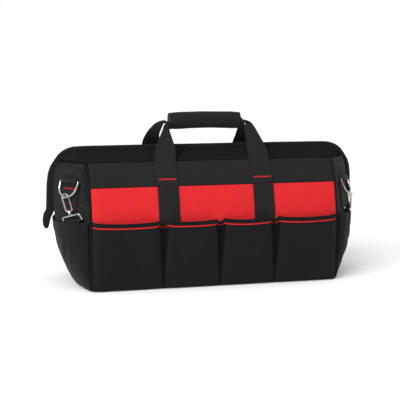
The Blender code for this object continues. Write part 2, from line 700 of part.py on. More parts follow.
def make_leg(name, face, side, rows):
    """One handle leg: flat on the upper panel, up over the sleeve, and folded narrower at the grip."""
    centre = side * STRIP_SPACING / 2
    flat_out = UPPER_OUT + CLEARANCE + WEBBING / 2
    spots = []
    for z in levels(UPPER_FOOT, SEAM_HEIGHT):
        spots.append((front_point(face, centre, z, flat_out), 1.0, 1.0, 0))
    span = GRIP_CENTRE - SEAM_HEIGHT
    for row in rows:
        x = side * row["spread"] * STRIP_SPACING / 2
        y = face * (row["out"] * depth_at(SEAM_HEIGHT) + flat_out)
        spot = Vector((x, y, SEAM_HEIGHT + row["rise"] * span))
        spots.append((spot, row["width"], row["fold"], row["turn"]))
    seat = Vector((side * (GRIP_LENGTH / 2 + CLEARANCE), face * GRIP_DEPTH / 4, GRIP_CENTRE - GRIP_SEAT))
    spots.append((seat, LEG_END_WIDTH, LEG_END_FOLD, -side * 90))
    rings = []
    for index, (spot, width, fold, turn) in enumerate(spots):
        before = spots[max(0, index - 1)][0]
        after = spots[min(len(spots) - 1, index + 1)][0]
        along = Vector((-side, 0, 0)) if spot is seat else (after - before).normalized()
        angle = math.radians(turn * -face)
        across = Vector((math.cos(angle), math.sin(angle), 0))
        across = (across - along * across.dot(along)).normalized()
        normal = along.cross(across)
        rings.append(strap_ring(spot, across, normal, WEBBING_WIDTH * width, WEBBING * fold))
    loft(name, rings, WEBBING_BLACK)


def make_handles():
    make_leg("front_handle_left", FRONT, LEFT, FRONT_LEFT_LEG)
    make_leg("front_handle_right", FRONT, RIGHT, FRONT_RIGHT_LEG)
    make_leg("back_handle_left", BACK, LEFT, BACK_LEFT_LEG)
    make_leg("back_handle_right", BACK, RIGHT, BACK_RIGHT_LEG)

    rings = []
    for station in GRIP_STATIONS:
        x = station["along"] * GRIP_LENGTH / 2
        z = GRIP_CENTRE + GRIP_CROWN * (1 - station["along"] ** 2)
        ring = []
        for step in range(GRIP_SIDES):
            angle = 2 * math.pi * step / GRIP_SIDES
            c, s = math.cos(angle), math.sin(angle)
            y = GRIP_DEPTH / 2 * station["size"] * math.copysign(abs(c) ** GRIP_SQUARENESS, c)
            up = GRIP_HEIGHT / 2 * station["size"] * math.copysign(abs(s) ** GRIP_SQUARENESS, s)
            ring.append(Vector((x, y, z + up)))
        rings.append(ring)
    loft("handle_grip", rings, BLACK)


def facet(side, place_across, high, length):
    """A flat place just outside the front half of an end: its top middle, and the directions towards
    the front corner, down and out."""
    rim, heel = end_point(side, -place_across - 0.2, high), end_point(side, -place_across + 0.2, high)
    across = (rim - heel).normalized()
    centre = end_point(side, -place_across, high)
    fall = end_point(side, -place_across, high - length) - centre
    out = (across.cross(fall) * side).normalized()
    down = (across.cross(out) * -side).normalized()
    half_width = 0.55 * WEBBING_WIDTH / depth_at(high)
    proud = 0.0
    for share in (-1, -0.5, 0, 0.5, 1):
        for z in (high + 0.006, *levels(high - length, high)):
            spot = end_point(side, -place_across - share * half_width * 0.8, z)
            proud = max(proud, (spot - centre).dot(out))
    return centre + out * (proud + CLEARANCE), across, down, out


def ring_facet(side):
    """The flat place under a ring's tab."""
    return facet(side, RING_PLACE, RING_HEIGHT[side], TAB_LENGTH)


def bar_centre(side):
    """The middle of a ring's straight bar, inside the tab's fold."""
    centre, _, _, out = ring_facet(side)
    return centre + out * (WEBBING + CLEARANCE + RING_WIRE)


def fold_radius(bar_radius):
    """The inside of a webbing fold, with straight steps that stay clear of the round bar."""
    return (bar_radius + CLEARANCE) / math.cos(math.pi / FOLD_STEPS)


def fold_profile(bar_radius, tongue, start=265, stop=-68):
    """Webbing folded round a bar, seen from its edge: pairs of how far out and how far down."""
    inner = fold_radius(bar_radius)
    outer = inner + WEBBING
    steps = [start + (stop - start) * step / FOLD_STEPS for step in range(FOLD_STEPS + 1)]
    round_bar = [(math.cos(math.radians(a)), -math.sin(math.radians(a))) for a in steps]
    outside = [(outer * o, outer * d) for o, d in round_bar]
    inside = [(inner * o, inner * d) for o, d in reversed(round_bar)]
    back = [(-inner, 0.0), (-inner, tongue), (-outer, tongue), (-outer, 0.0)]
    outside = [pair for pair in outside if not (pair[0] < 0 and pair[1] > 0)]
    inside = [pair for pair in inside if not (pair[0] < 0 and pair[1] > 0)]
    return back + outside + inside


def make_fold(name, bar, frame, bar_radius, tongue):
    """Flat webbing folded round a bar, one end left long. Frame is its directions across, down and out."""
    across, down, out = frame
    profile = fold_profile(bar_radius, tongue)
    rings = []
    for edge in (-1, 1):
        start = bar + across * edge * WEBBING_WIDTH / 2
        rings.append([start + out * o + down * d for o, d in profile])
    loft(name, rings, WEBBING_BLACK)


def make_tab(name, side):
    """A webbing tab sewn flat on the end, folded at its top round the ring's bar."""
    _, across, down, out = ring_facet(side)
    make_fold(name, bar_centre(side), (across, down, out), RING_WIRE, TAB_LENGTH)


def ring_frame(side):
    """The ring's bar, its direction, and the way the ring hangs, tilted a little off the tab."""
    _, across, down, out = ring_facet(side)
    tilt = math.radians(RING_TILT)
    return bar_centre(side), across, (down * math.cos(tilt) + out * math.sin(tilt)).normalized(), out


def make_ring(name, side):
    middle, across, hang, _ = ring_frame(side)
    half = RING_WIDTH / 2
    straight = RING_DROP - half
    points = [middle - across * half, middle + across * half]
    for step in range(11):
        angle = math.pi * step / 10
        points.append(middle + across * half * math.cos(angle) + hang * (straight + half * math.sin(angle)))
    tube(name, points, RING_WIRE, STEEL, closed=True, roughness=0.22, metallic=1.0)


def loop_frame():
    """The loop's lower bar, in the mouth of the left end pocket, and its across, down and out."""
    centre, level, fall, out = facet(LEFT, LOOP_PLACE, END_POCKET_HEIGHT, STRAP_TONGUE)
    lean = math.radians(LOOP_LEAN)
    across = level * math.cos(lean) - fall * math.sin(lean)
    down = fall * math.cos(lean) + level * math.sin(lean)
    bar = centre + fall * LOOP_SINK + out * (fold_radius(LOOP_WIRE) + WEBBING)
    return bar, across, down, out


def loop_drop():
    """From the loop's upper bar to its lower one: it tips in towards the pocket."""
    _, _, down, out = loop_frame()
    tip = math.radians(LOOP_TIP)
    return (down * math.cos(tip) - out * math.sin(tip)) * LOOP_DROP


def hook_frame():
    """The hook's top, its sideways direction, the shank's direction, and its length to the loop."""
    middle, across, hang, out = ring_frame(LEFT)
    bar, _, _, _ = loop_frame()
    rest = middle + hang * RING_DROP
    upper = bar - loop_drop()
    shank = (upper - rest).normalized()
    turn = math.radians(HOOK_TURN)
    sideways = across * math.cos(turn) - out * math.sin(turn)
    sideways = (sideways - shank * sideways.dot(shank)).normalized()
    top = rest - shank * (RING_WIRE + HOOK_WIRE + HOOK_PLAY)
    return top, sideways, shank, (upper - top).length - LOOP_WIRE - CLEARANCE


def gate_line():
    """The gate's hinge point and its tip, across the hook's open side."""
    top, sideways, shank, length = hook_frame()
    half = HOOK_WIDTH / 2 - HOOK_WIRE
    heel = top + shank * (length - SWIVEL_LENGTH - half * (1 - HOOK_HEEL)) + sideways * half
    nose = half * (1 + math.sin(math.radians(NOSE_TURN)))
    tip = top + shank * (nose + GATE_TIP_GAP) + sideways * half
    return heel - shank * GATE_GAP, tip


def make_hook():
    """Snap hook on the left ring, with a sprung gate and a swivel stud."""
    top, sideways, shank, length = hook_frame()
    pin = sideways.cross(shank)
    half = HOOK_WIDTH / 2 - HOOK_WIRE
    head = top + shank * half
    foot = top + shank * (length - SWIVEL_LENGTH - half)
    line = []
    for step in range(9):
        angle = math.radians(-NOSE_TURN + (180 + NOSE_TURN) * step / 8)
        line.append(head + sideways * half * math.cos(angle) - shank * half * math.sin(angle))
    for step in range(5):
        angle = math.radians(180 + 90 * step / 4)
        line.append(foot + sideways * half * math.cos(angle) - shank * half * math.sin(angle))
    for drop, reach in HOOK_FOOT:
        line.append(foot + shank * half * drop + sideways * half * reach)
    wire = tube("hook_wire", line, HOOK_WIRE, STEEL)
    sides = 10
    around = [2 * math.pi * step / sides for step in range(sides)]
    rings = []
    for drop, size in SWIVEL_RINGS:
        heart = foot + shank * (half + drop * SWIVEL_LENGTH)
        radius = SWIVEL_RADIUS * size
        rings.append([heart + (sideways * math.cos(a) + pin * math.sin(a)) * radius for a in around])
    stud = loft("stud", rings, STEEL)
    joined("hook_body", [wire, stud], STEEL, 0.22, 1.0)
    pivot, tip = gate_line()
    tube("hook_gate", [pivot, pivot.lerp(tip, 0.5), tip], GATE_WIRE, STEEL, roughness=0.22, metallic=1.0)


def make_strap():
    """The wire loop under the swivel, and the end of strap that goes down into the left end pocket."""
    bar, across, down, out = loop_frame()
    drop = loop_drop()
    centre = bar - drop / 2
    half, corner = LOOP_WIDTH / 2, LOOP_CORNER
    fall = drop.normalized()
    points = []
    for sign_a, sign_d, first in ((-1, -1, 180), (1, -1, 270), (1, 1, 0), (-1, 1, 90)):
        heart = centre + across * sign_a * (half - corner) + fall * sign_d * (LOOP_DROP / 2 - corner)
        for step in range(4):
            angle = math.radians(first + 30 * step)
            points.append(heart + across * corner * math.cos(angle) + fall * corner * math.sin(angle))
    tube("strap_loop", points, LOOP_WIRE, STEEL, closed=True, roughness=0.22, metallic=1.0)
    make_fold("strap_end", bar, (across, down, out), LOOP_WIRE, STRAP_TONGUE)


def main():
    clear_scene()
    make_collection("tool_bag")
    make_collection("cutters", hidden=True)
    make_base()
    make_long_panels()
    make_end_panels()
    make_sleeves()
    make_upper_panels()
    make_band()
    make_strips()
    make_seam_cords()
    make_pockets()
    make_end_pockets()
    make_zip()
    make_slider()
    make_handles()
    for side, hand in ((LEFT, "left"), (RIGHT, "right")):
        make_tab(f"ring_tab_{hand}", side)
        make_ring(f"d_ring_{hand}", side)
    make_hook()
    make_strap()


if __name__ == "__main__":
    main()
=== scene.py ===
"""Looks of a wide-mouthed fabric tool bag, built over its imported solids.

Metres, +Z up, the same frame as the solids: +X along the bag, front towards -Y.
"""

import math

import bmesh
import bpy
from mathutils import Matrix, Vector, noise
from mathutils.bvhtree import BVHTree


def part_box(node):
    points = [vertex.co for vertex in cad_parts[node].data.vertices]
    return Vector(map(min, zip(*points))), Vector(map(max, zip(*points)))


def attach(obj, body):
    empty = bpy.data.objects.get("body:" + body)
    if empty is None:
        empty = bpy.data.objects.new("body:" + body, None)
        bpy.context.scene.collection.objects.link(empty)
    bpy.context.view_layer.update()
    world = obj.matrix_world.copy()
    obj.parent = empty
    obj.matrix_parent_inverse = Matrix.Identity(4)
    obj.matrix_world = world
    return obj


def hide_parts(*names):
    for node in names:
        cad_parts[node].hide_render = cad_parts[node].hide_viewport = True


bl_info = {
    "name": "Fabric Tool Bag Looks",
    "version": (1, 0, 0),
    "blender": (4, 5, 0),
    "location": "3D View > Sidebar > Tool Bag",
    "description": "Cloth, webbing, stitching, zip and steel of a tool bag over its packed solids",
    "category": "Object",
}

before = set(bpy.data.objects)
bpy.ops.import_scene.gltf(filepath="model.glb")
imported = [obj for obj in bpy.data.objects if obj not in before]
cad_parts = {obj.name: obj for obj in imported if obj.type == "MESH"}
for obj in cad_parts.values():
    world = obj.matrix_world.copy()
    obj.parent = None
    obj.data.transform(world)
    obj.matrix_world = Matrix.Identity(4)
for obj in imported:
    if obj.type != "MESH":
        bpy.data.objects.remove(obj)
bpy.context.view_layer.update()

LEFT, RIGHT = -1, 1
SIDES = {"left": LEFT, "right": RIGHT}
SHARP_FOLD = math.radians(50)

# Places on the bag that the looks are set against, from the solids.
POCKET_FOOT = 0.0034
POCKET_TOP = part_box("pocket_binding_2")[1].z
BAND_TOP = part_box("red_band")[1].z
SEAM_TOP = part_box("front_upper_panel")[1].z
HEM_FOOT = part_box("end_hem_left")[0].z
HEM_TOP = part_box("end_hem_left")[1].z
PANEL_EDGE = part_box("front_panel")[1].x

# Heights between which an end's cloth lies still under the ring's tab.
TAB_FOOT = 0.125
TAB_TOP = 0.200

# How far the strips' and handle legs' middles stand from the bag's, and half of a bar tack.
STRIP_PLACE = 0.0875
TACK_REACH = 0.0160

# How far from the bag's middle the rays start that lay stitches on its front and on its ends.
FRONT_STAND = 0.14
END_STAND = 0.34

# Soft folds in the front's cloth. Each row: start over x and z, end over x and z, width, and depth
# with outward positive.
FRONT_FOLDS = (
    (-0.212, 0.176, -0.160, 0.146, 0.0090, 0.0014),
    (-0.190, 0.150, -0.135, 0.132, 0.0080, -0.0011),
    (-0.150, 0.176, -0.128, 0.150, 0.0080, -0.0009),
    (-0.060, 0.176, -0.010, 0.138, 0.0110, 0.0013),
    (0.010, 0.174, 0.042, 0.132, 0.0100, -0.0013),
    (-0.030, 0.150, 0.012, 0.130, 0.0090, -0.0010),
    (0.122, 0.172, 0.168, 0.142, 0.0100, 0.0014),
    (0.150, 0.176, 0.210, 0.150, 0.0090, -0.0012),
    (-0.200, 0.214, -0.140, 0.196, 0.0120, 0.0011),
    (-0.040, 0.212, 0.040, 0.200, 0.0130, 0.0010),
    (0.120, 0.214, 0.195, 0.198, 0.0120, 0.0011),
)

# Wrinkles of the front pockets' own cloth.
POCKET_FOLDS = (
    (-0.200, 0.104, -0.160, 0.048, 0.0050, 0.0014),
    (-0.186, 0.100, -0.140, 0.036, 0.0046, -0.0013),
    (-0.172, 0.088, -0.126, 0.030, 0.0050, 0.0012),
    (-0.214, 0.060, -0.176, 0.020, 0.0060, -0.0011),
    (-0.150, 0.108, -0.118, 0.070, 0.0060, 0.0010),
    (-0.080, 0.104, -0.062, 0.030, 0.0080, -0.0012),
    (-0.030, 0.106, -0.020, 0.040, 0.0080, 0.0011),
    (0.024, 0.104, 0.032, 0.034, 0.0080, -0.0011),
    (0.070, 0.106, 0.082, 0.044, 0.0070, 0.0011),
    (0.130, 0.106, 0.150, 0.040, 0.0080, -0.0012),
    (0.190, 0.104, 0.170, 0.044, 0.0080, 0.0012),
    (0.200, 0.060, 0.160, 0.018, 0.0060, -0.0010),
)

# Folds in the ends' cloth, rows as above but over y and z, the same on both ends.
END_FOLDS = (
    (-0.074, 0.214, -0.030, 0.206, 0.0060, 0.0016),
    (-0.070, 0.206, -0.024, 0.212, 0.0050, -0.0014),
    (0.060, 0.214, 0.022, 0.186, 0.0080, 0.0016),
    (0.072, 0.190, 0.030, 0.150, 0.0080, -0.0014),
    (0.070, 0.160, 0.036, 0.128, 0.0080, 0.0012),
)
END_POCKET_FOLDS = (
    (-0.080, 0.088, -0.052, 0.030, 0.0060, 0.0014),
    (-0.060, 0.092, -0.030, 0.040, 0.0070, -0.0013),
    (-0.020, 0.090, -0.010, 0.040, 0.0070, 0.0011),
    (0.030, 0.092, 0.020, 0.036, 0.0070, -0.0012),
    (0.066, 0.090, 0.048, 0.030, 0.0060, 0.0013),
)

# How far forward a front pocket stands, as a share of its depth: by share of the width in from
# its side, and by height from its foot to its edge, as the solids have it.
PLEAT_STEPS = ((0.0, 0.0), (0.035, 0.45), (0.10, 0.86), (0.22, 0.97))
POCKET_FULLNESS = ((0.00, 0.12), (0.12, 0.45), (0.40, 0.80), (0.75, 0.92), (1.00, 1.00))
POCKET_DEPTH = 0.0125

CAMERA = {"turn": 14.1, "rise": 7.9, "distance": 1.885, "lens": 90.9, "sensor": 36.0}
CAMERA_TARGET = Vector((-0.008, 0.0, 0.1425))

# Soft lights far off: the way to each, its strength and how broad it looks, in degrees.
STUDIO_SUNS = (
    ("front_left_light", (-0.62, -0.66, 0.52), 2.25, 50),
    ("top_light", (0.15, -0.25, 1.0), 0.75, 90),
)
SOFTBOX_PLACE = Vector((-0.95, -0.75, 0.95))
SOFTBOX_AIM = Vector((-0.22, 0.0, 0.18))
SOFTBOX_WIDTH = 0.5
SOFTBOX_POWER = 5.0
# Brightness of the studio's surroundings by height of view, from straight down to straight up.
STUDIO_GLOW = ((0.0, 0.20), (0.48, 0.28), (0.60, 0.55), (0.80, 0.50), (1.0, 0.70))


def colour_property(name, description, default):
    """A colour that the user can change."""
    return bpy.props.FloatVectorProperty(
        name=name, description=description, default=default, subtype="COLOR", size=3, min=0, max=1)


def length_property(name, description, default, low, high):
    """A length in metres that the user can change."""
    return bpy.props.FloatProperty(
        name=name, description=description, default=default, min=low, max=high,
        unit="LENGTH", precision=5)


class BagColours(bpy.types.PropertyGroup):
    """Colours of the bag's cloths, threads and metal."""

    black_cloth: colour_property(
        "Black cloth", "Coarse woven polyester of the body", (0.0105, 0.0105, 0.0109))
    pocket_cloth: colour_property(
        "Pocket cloth", "Cloth of the front and end pockets", (0.0064, 0.0064, 0.0067))
    sleeve_cloth: colour_property(
        "Sleeve cloth", "Darker cloth of the flaps along the mouth", (0.0085, 0.0085, 0.0088))
    red_cloth: colour_property(
        "Red cloth", "Band behind the front pockets", (0.530, 0.0165, 0.0200))
    webbing: colour_property(
        "Webbing", "Handles, strips and tabs", (0.0105, 0.0105, 0.0109))
    binding: colour_property(
        "Binding", "Bound pocket edges, seam piping and zip coils", (0.0045, 0.0045, 0.0048))
    zip_tape: colour_property(
        "Zip tape", "Tape that the zip's coils are sewn on", (0.0088, 0.0088, 0.0092))
    red_piping: colour_property(
        "Red piping", "Piping under the pockets' bound edges, and the bar tacks", (0.520, 0.0150, 0.0200))
    black_thread: colour_property(
        "Black thread", "Seam stitches", (0.0120, 0.0120, 0.0125))
    steel: colour_property(
        "Steel", "Nickel-plated rings, hook, loop and slider", (0.500, 0.495, 0.485))


class BagSizes(bpy.types.PropertyGroup):
    """Sizes of the bag's fine detail."""

    cloth_pitch: length_property(
        "Weave pitch", "Thread spacing of the body's cloth",
        0.0009, 0.0003, 0.003)
    webbing_pitch: length_property(
        "Webbing rib pitch", "Spacing of the ribs across the webbing",
        0.0016, 0.0005, 0.004)
    slack: length_property(
        "Slack", "Depth of the broad undulation of the panels",
        0.0016, 0, 0.004)
    fold_depth: bpy.props.FloatProperty(
        name="Fold depth", description="Factor on every fold's depth",
        default=1.5, min=0, max=2, subtype="FACTOR")
    pleat_width: length_property(
        "Pleat width", "Half the width of the open pleat between two pockets, at the top",
        0.0092, 0, 0.011)
    hem_sag: length_property(
        "Pocket sag", "How far a pocket's edge sags in its middle",
        0.0032, 0, 0.006)
    hem_dip: length_property(
        "Pleat dip", "How far a pocket's edge dips where it is sewn down between two pockets",
        0.0060, 0, 0.009)
    end_sag: length_property(
        "End pocket sag", "How far the end pockets' hems sag in their middle",
        0.0060, 0, 0.010)
    gather_pitch: length_property(
        "Gather pitch", "Spacing of the gathers along the elastic hems",
        0.0125, 0.005, 0.03)
    gather_depth: length_property(
        "Gather depth", "Depth of the gathers along the elastic hems",
        0.0007, 0, 0.002)
    stitch_pitch: length_property(
        "Stitch pitch", "Spacing of the stitches in a seam",
        0.0034, 0.001, 0.008)
    thread: length_property(
        "Thread thickness", "Diameter of the sewing thread",
        0.0007, 0.0002, 0.002)
    tape_width: length_property(
        "Seam tape width", "Width of the folded tape beside the ends' upright seams",
        0.0060, 0.003, 0.012)
    tooth_pitch: length_property(
        "Zip tooth pitch", "Spacing of the zip's coils",
        0.0021, 0.001, 0.006)


def sizes():
    return bpy.context.scene.bag_sizes


def colours():
    return bpy.context.scene.bag_colours


def step_between(low, high, value):
    """0 below low, 1 above high, and a smooth ramp between them."""
    share = min(1.0, max(0.0, (value - low) / (high - low)))
    return share * share * (3 - 2 * share)


def on_steps(steps, at):
    """The value at a place on a line through the given pairs."""
    for (low, low_value), (high, high_value) in zip(steps, steps[1:]):
        if at <= high:
            return low_value + (high_value - low_value) * max(0.0, at - low) / (high - low)
    return steps[-1][1]


def folds_at(rows, across, up):
    """How far out a table's folds push a point, given its place across and up the panel."""
    total = 0.0
    for first_across, first_up, last_across, last_up, width, depth in rows:
        start = Vector((first_across, first_up))
        line = Vector((last_across, last_up)) - start
        spot = Vector((across, up)) - start
        share = min(1.0, max(0.0, spot.dot(line) / line.length_squared))
        away = (spot - line * share).length / width
        if away < 3:
            total += depth * math.exp(-away * away) * (0.35 + 0.65 * math.sin(math.pi * share))
    return total * sizes().fold_depth


def slack_at(across, up, seed):
    """Broad and small undulation of a slack panel."""
    broad = noise.noise(Vector((across / 0.075, up / 0.055, seed)))
    small = noise.noise(Vector((across / 0.024, up / 0.020, seed + 7.3)))
    return sizes().slack * (broad + 0.28 * small)


def front_move(point):
    """The shared undulation of every layer sewn to the front or back, as a distance outward."""
    edge = step_between(0.0, 0.022, PANEL_EDGE - abs(point.x))
    foot = step_between(0.004, 0.030, point.z)
    top = step_between(0.0, 0.010, SEAM_TOP - point.z)
    side = 1 if point.y < 0 else 5
    away = slack_at(point.x, point.z, side)
    away += folds_at(FRONT_FOLDS, point.x if point.y < 0 else -point.x, point.z)
    return away * edge * foot * top


def sewn_to_front(point):
    return Vector((0, math.copysign(front_move(point), point.y), 0))


def band_move(point):
    """The band as the front is, but drawn in at its ends behind the pockets, where it is sewn short."""
    low = 1 - step_between(POCKET_TOP - 0.012, POCKET_TOP - 0.004, point.z)
    side = step_between(PANEL_EDGE - 0.016, PANEL_EDGE - 0.008, abs(point.x))
    short = math.copysign(0.0055 * low * side, -point.x)
    return sewn_to_front(point) + Vector((short, 0, 0))


def end_move(point):
    """The undulation of an end's cloth, still at its seams, at the zip and round the ring's tab."""
    across = abs(point.y)
    edge = step_between(0.0, 0.020, 0.088 - across)
    zip_side = step_between(0.004, 0.018, across)
    foot = step_between(0.004, 0.030, point.z)
    top = step_between(0.0, 0.012, SEAM_TOP - point.z)
    tab = 0.0
    if point.y < 0:
        tab = step_between(TAB_FOOT - 0.03, TAB_FOOT, point.z)
        tab *= 1 - step_between(TAB_TOP - 0.004, TAB_TOP + 0.006, point.z)
    away = slack_at(point.y, point.z, 11 if point.x < 0 else 17)
    away += folds_at(END_FOLDS, point.y, point.z)
    return away * edge * zip_side * foot * top * (1 - tab)


def end_cloth(point):
    return Vector((math.copysign(end_move(point), point.x), 0, 0))


def merged(name):
    """A node's own mesh as one joined skin of mostly four-sided faces."""
    shape = bmesh.new()
    shape.from_mesh(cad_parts[name].data)
    bmesh.ops.remove_doubles(shape, verts=shape.verts, dist=0.00001)
    bmesh.ops.join_triangles(
        shape, faces=shape.faces, topology_influence=1.0,
        angle_face_threshold=math.radians(60), angle_shape_threshold=math.radians(89))
    bmesh.ops.recalc_face_normals(shape, faces=shape.faces)
    return shape


def smoothed(shape, levels, crease):
    """The same skin after a few levels of subdivision, holding its sharp folds by the given crease."""
    layer = shape.edges.layers.float.new("crease_edge")
    corner = shape.verts.layers.float.new("crease_vert")
    for edge in shape.edges:
        if edge.calc_face_angle(0) > SHARP_FOLD:
            edge[layer] = crease
    if crease == 1.0:
        for vert in shape.verts:
            rims = [edge.other_vert(vert).co - vert.co for edge in vert.link_edges if edge[layer]]
            if len(rims) == 2 and rims[0].angle(rims[1], math.pi) < math.radians(150):
                vert[corner] = 1.0
    mesh = bpy.data.meshes.new("smoothing")
    shape.to_mesh(mesh)
    shape.free()
    helper = bpy.data.objects.new("smoothing", mesh)
    bpy.context.scene.collection.objects.link(helper)
    surface = helper.modifiers.new("smooth", "SUBSURF")
    surface.levels = surface.render_levels = levels
    graph = bpy.context.evaluated_depsgraph_get()
    finer = bpy.data.meshes.new_from_object(helper.evaluated_get(graph))
    bpy.data.objects.remove(helper)
    bpy.data.meshes.remove(mesh)
    result = bmesh.new()
    result.from_mesh(finer)
    bpy.data.meshes.remove(finer)
    for layers in (result.edges.layers.float, result.verts.layers.float):
        for layer in list(layers.values()):
            layers.remove(layer)
    return result


def unwrap(shape):
    """Lays the weave flat on each face, in metres, along whichever two directions the face spans."""
    layer = shape.loops.layers.uv.verify()
    for face in shape.faces:
        normal = face.normal
        lean = (abs(normal.x), abs(normal.y), abs(normal.z) * 0.8)
        widest = lean.index(max(lean))
        for loop in face.loops:
            spot = loop.vert.co
            pair = ((spot.y, spot.z), (spot.x, spot.z), (spot.x, spot.y))[widest]
            loop[layer].uv = pair


def put(name, shape, material, nodes=(), soften=0.0):
    """Makes the finished piece: shaded smooth, riding on the bag, standing for its nodes."""
    unwrap(shape)
    mesh = bpy.data.meshes.new(name)
    shape.to_mesh(mesh)
    shape.free()
    mesh.shade_smooth()
    mesh.set_sharp_from_angle(angle=math.radians(55))
    mesh.materials.append(material)
    piece = bpy.data.objects.new(name, mesh)
    bpy.context.scene.collection.objects.link(piece)
    if soften:
        edges = piece.modifiers.new("soft edges", "BEVEL")
        edges.width = soften
        edges.segments = 2
        edges.limit_method = "ANGLE"
        edges.angle_limit = SHARP_FOLD
    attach(piece, "bag")
    if nodes:
        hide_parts(*nodes)
    return piece


def cloth(node, name, material, move=None, levels=3, crease=1.0, soften=0.0004):
    """A cloth piece in the place of a node: its own skin, made smooth and fine, and moved."""
    shape = smoothed(merged(node), levels, crease)
    if move:
        for vert in shape.verts:
            vert.co += move(vert.co)
    shape.normal_update()
    return put(name, shape, material, (node,), soften=soften)


def skin_of(name):
    """A piece's faces, ready to be met by rays."""
    mesh = bpy.data.objects[name].data
    return BVHTree.FromPolygons([v.co for v in mesh.vertices], [p.vertices[:] for p in mesh.polygons])


# Node helpers


def number(tree, operation, first, second=0.0, third=0.0):
    node = tree.nodes.new("ShaderNodeMath")
    node.operation = operation
    for socket, value in zip(node.inputs, (first, second, third)):
        if isinstance(value, (int, float)):
            socket.default_value = value
        else:
            tree.links.new(value, socket)
    return node.outputs[0]


def new_group(name, inputs, outputs):
    """An empty shader group with named sockets: its tree, its inputs by name and its output node."""
    tree = bpy.data.node_groups.new(name, "ShaderNodeTree")
    for label, kind, default in inputs:
        socket = tree.interface.new_socket(name=label, in_out="INPUT", socket_type=kind)
        if default is not None:
            socket.default_value = default
    for label, kind in outputs:
        tree.interface.new_socket(name=label, in_out="OUTPUT", socket_type=kind)
    start = tree.nodes.new("NodeGroupInput")
    end = tree.nodes.new("NodeGroupOutput")
    return tree, start.outputs, end.inputs


def spread_noise(tree, vector, stretch, scale, detail=2.0):
    """Noise over a stretched vector."""
    mapping = tree.nodes.new("ShaderNodeVectorMath")
    mapping.operation = "MULTIPLY"
    mapping.inputs[1].default_value = stretch
    tree.links.new(vector, mapping.inputs[0])
    texture = tree.nodes.new("ShaderNodeTexNoise")
    texture.inputs["Scale"].default_value = scale
    texture.inputs["Detail"].default_value = detail
    tree.links.new(mapping.outputs[0], texture.inputs["Vector"])
    return texture.outputs["Fac"]


def plain_weave():
    """Threads over and under each other, with thicker and thinner ones."""
    tree, given, made = new_group(
        "Plain weave",
        (("Vector", "NodeSocketVector", None), ("Pitch", "NodeSocketFloat", 0.0009)),
        (("Height", "NodeSocketFloat"), ("Shade", "NodeSocketFloat")))
    split = tree.nodes.new("ShaderNodeSeparateXYZ")
    tree.links.new(given["Vector"], split.inputs[0])
    across = number(tree, "DIVIDE", split.outputs[0], given["Pitch"])
    up = number(tree, "DIVIDE", split.outputs[1], given["Pitch"])
    cells = number(tree, "ADD", number(tree, "FLOOR", across), number(tree, "FLOOR", up))
    over = number(tree, "MULTIPLY", number(tree, "FRACT", number(tree, "MULTIPLY", cells, 0.5)), 2.0)
    warp = number(tree, "SINE", number(tree, "MULTIPLY", number(tree, "FRACT", across), math.pi))
    weft = number(tree, "SINE", number(tree, "MULTIPLY", number(tree, "FRACT", up), math.pi))
    high = number(tree, "MULTIPLY", warp, number(tree, "MULTIPLY_ADD", weft, 0.45, 0.55))
    low = number(tree, "MULTIPLY", weft, number(tree, "MULTIPLY_ADD", warp, 0.45, 0.55))
    under = number(tree, "SUBTRACT", 1.0, over)
    height = number(tree, "ADD", number(tree, "MULTIPLY", high, over), number(tree, "MULTIPLY", low, under))
    tree.links.new(height, made["Height"])
    along = spread_noise(tree, given["Vector"], (1.0, 16.0, 1.0), 45.0)
    down = spread_noise(tree, given["Vector"], (16.0, 1.0, 1.0), 45.0)
    tree.links.new(number(tree, "MULTIPLY", number(tree, "ADD", along, down), 0.5), made["Shade"])
    return tree


def ribbed_webbing():
    """Ribs along a strap, stepped by the cross threads."""
    tree, given, made = new_group(
        "Ribbed webbing",
        (("Vector", "NodeSocketVector", None), ("Pitch", "NodeSocketFloat", 0.0016)),
        (("Height", "NodeSocketFloat"), ("Shade", "NodeSocketFloat")))
    split = tree.nodes.new("ShaderNodeSeparateXYZ")
    tree.links.new(given["Vector"], split.inputs[0])
    across = number(tree, "DIVIDE", split.outputs[0], given["Pitch"])
    up = number(tree, "DIVIDE", split.outputs[1], given["Pitch"])
    rib = number(tree, "ABSOLUTE", number(tree, "SINE", number(tree, "MULTIPLY", across, math.pi)))
    odd = number(tree, "FRACT", number(tree, "MULTIPLY", number(tree, "FLOOR", across), 0.5))
    rows = number(tree, "ADD", up, odd)
    row = number(tree, "ABSOLUTE", number(tree, "SINE", number(tree, "MULTIPLY", rows, math.pi)))
    thick = number(tree, "POWER", rib, 0.6)
    height = number(tree, "MULTIPLY", thick, number(tree, "MULTIPLY_ADD", row, 0.4, 0.6))
    tree.links.new(height, made["Height"])
    along = spread_noise(tree, given["Vector"], (14.0, 1.0, 1.0), 50.0)
    tree.links.new(along, made["Shade"])
    return tree


def soft_wear():
    """Broad patches where the cloth is rubbed or dusty."""
    tree, given, made = new_group(
        "Soft wear",
        (("Vector", "NodeSocketVector", None), ("Scale", "NodeSocketFloat", 14.0)),
        (("Mask", "NodeSocketFloat"), ("Fine", "NodeSocketFloat")))
    texture = tree.nodes.new("ShaderNodeTexNoise")
    texture.inputs["Detail"].default_value = 4.0
    tree.links.new(given["Vector"], texture.inputs["Vector"])
    tree.links.new(given["Scale"], texture.inputs["Scale"])
    ramp = tree.nodes.new("ShaderNodeMapRange")
    ramp.inputs["From Min"].default_value = 0.38
    ramp.inputs["From Max"].default_value = 0.68
    tree.links.new(texture.outputs["Fac"], ramp.inputs["Value"])
    tree.links.new(ramp.outputs["Result"], made["Mask"])
    tree.links.new(spread_noise(tree, given["Vector"], (1.0, 1.0, 1.0), 620.0, 1.0), made["Fine"])
    return tree


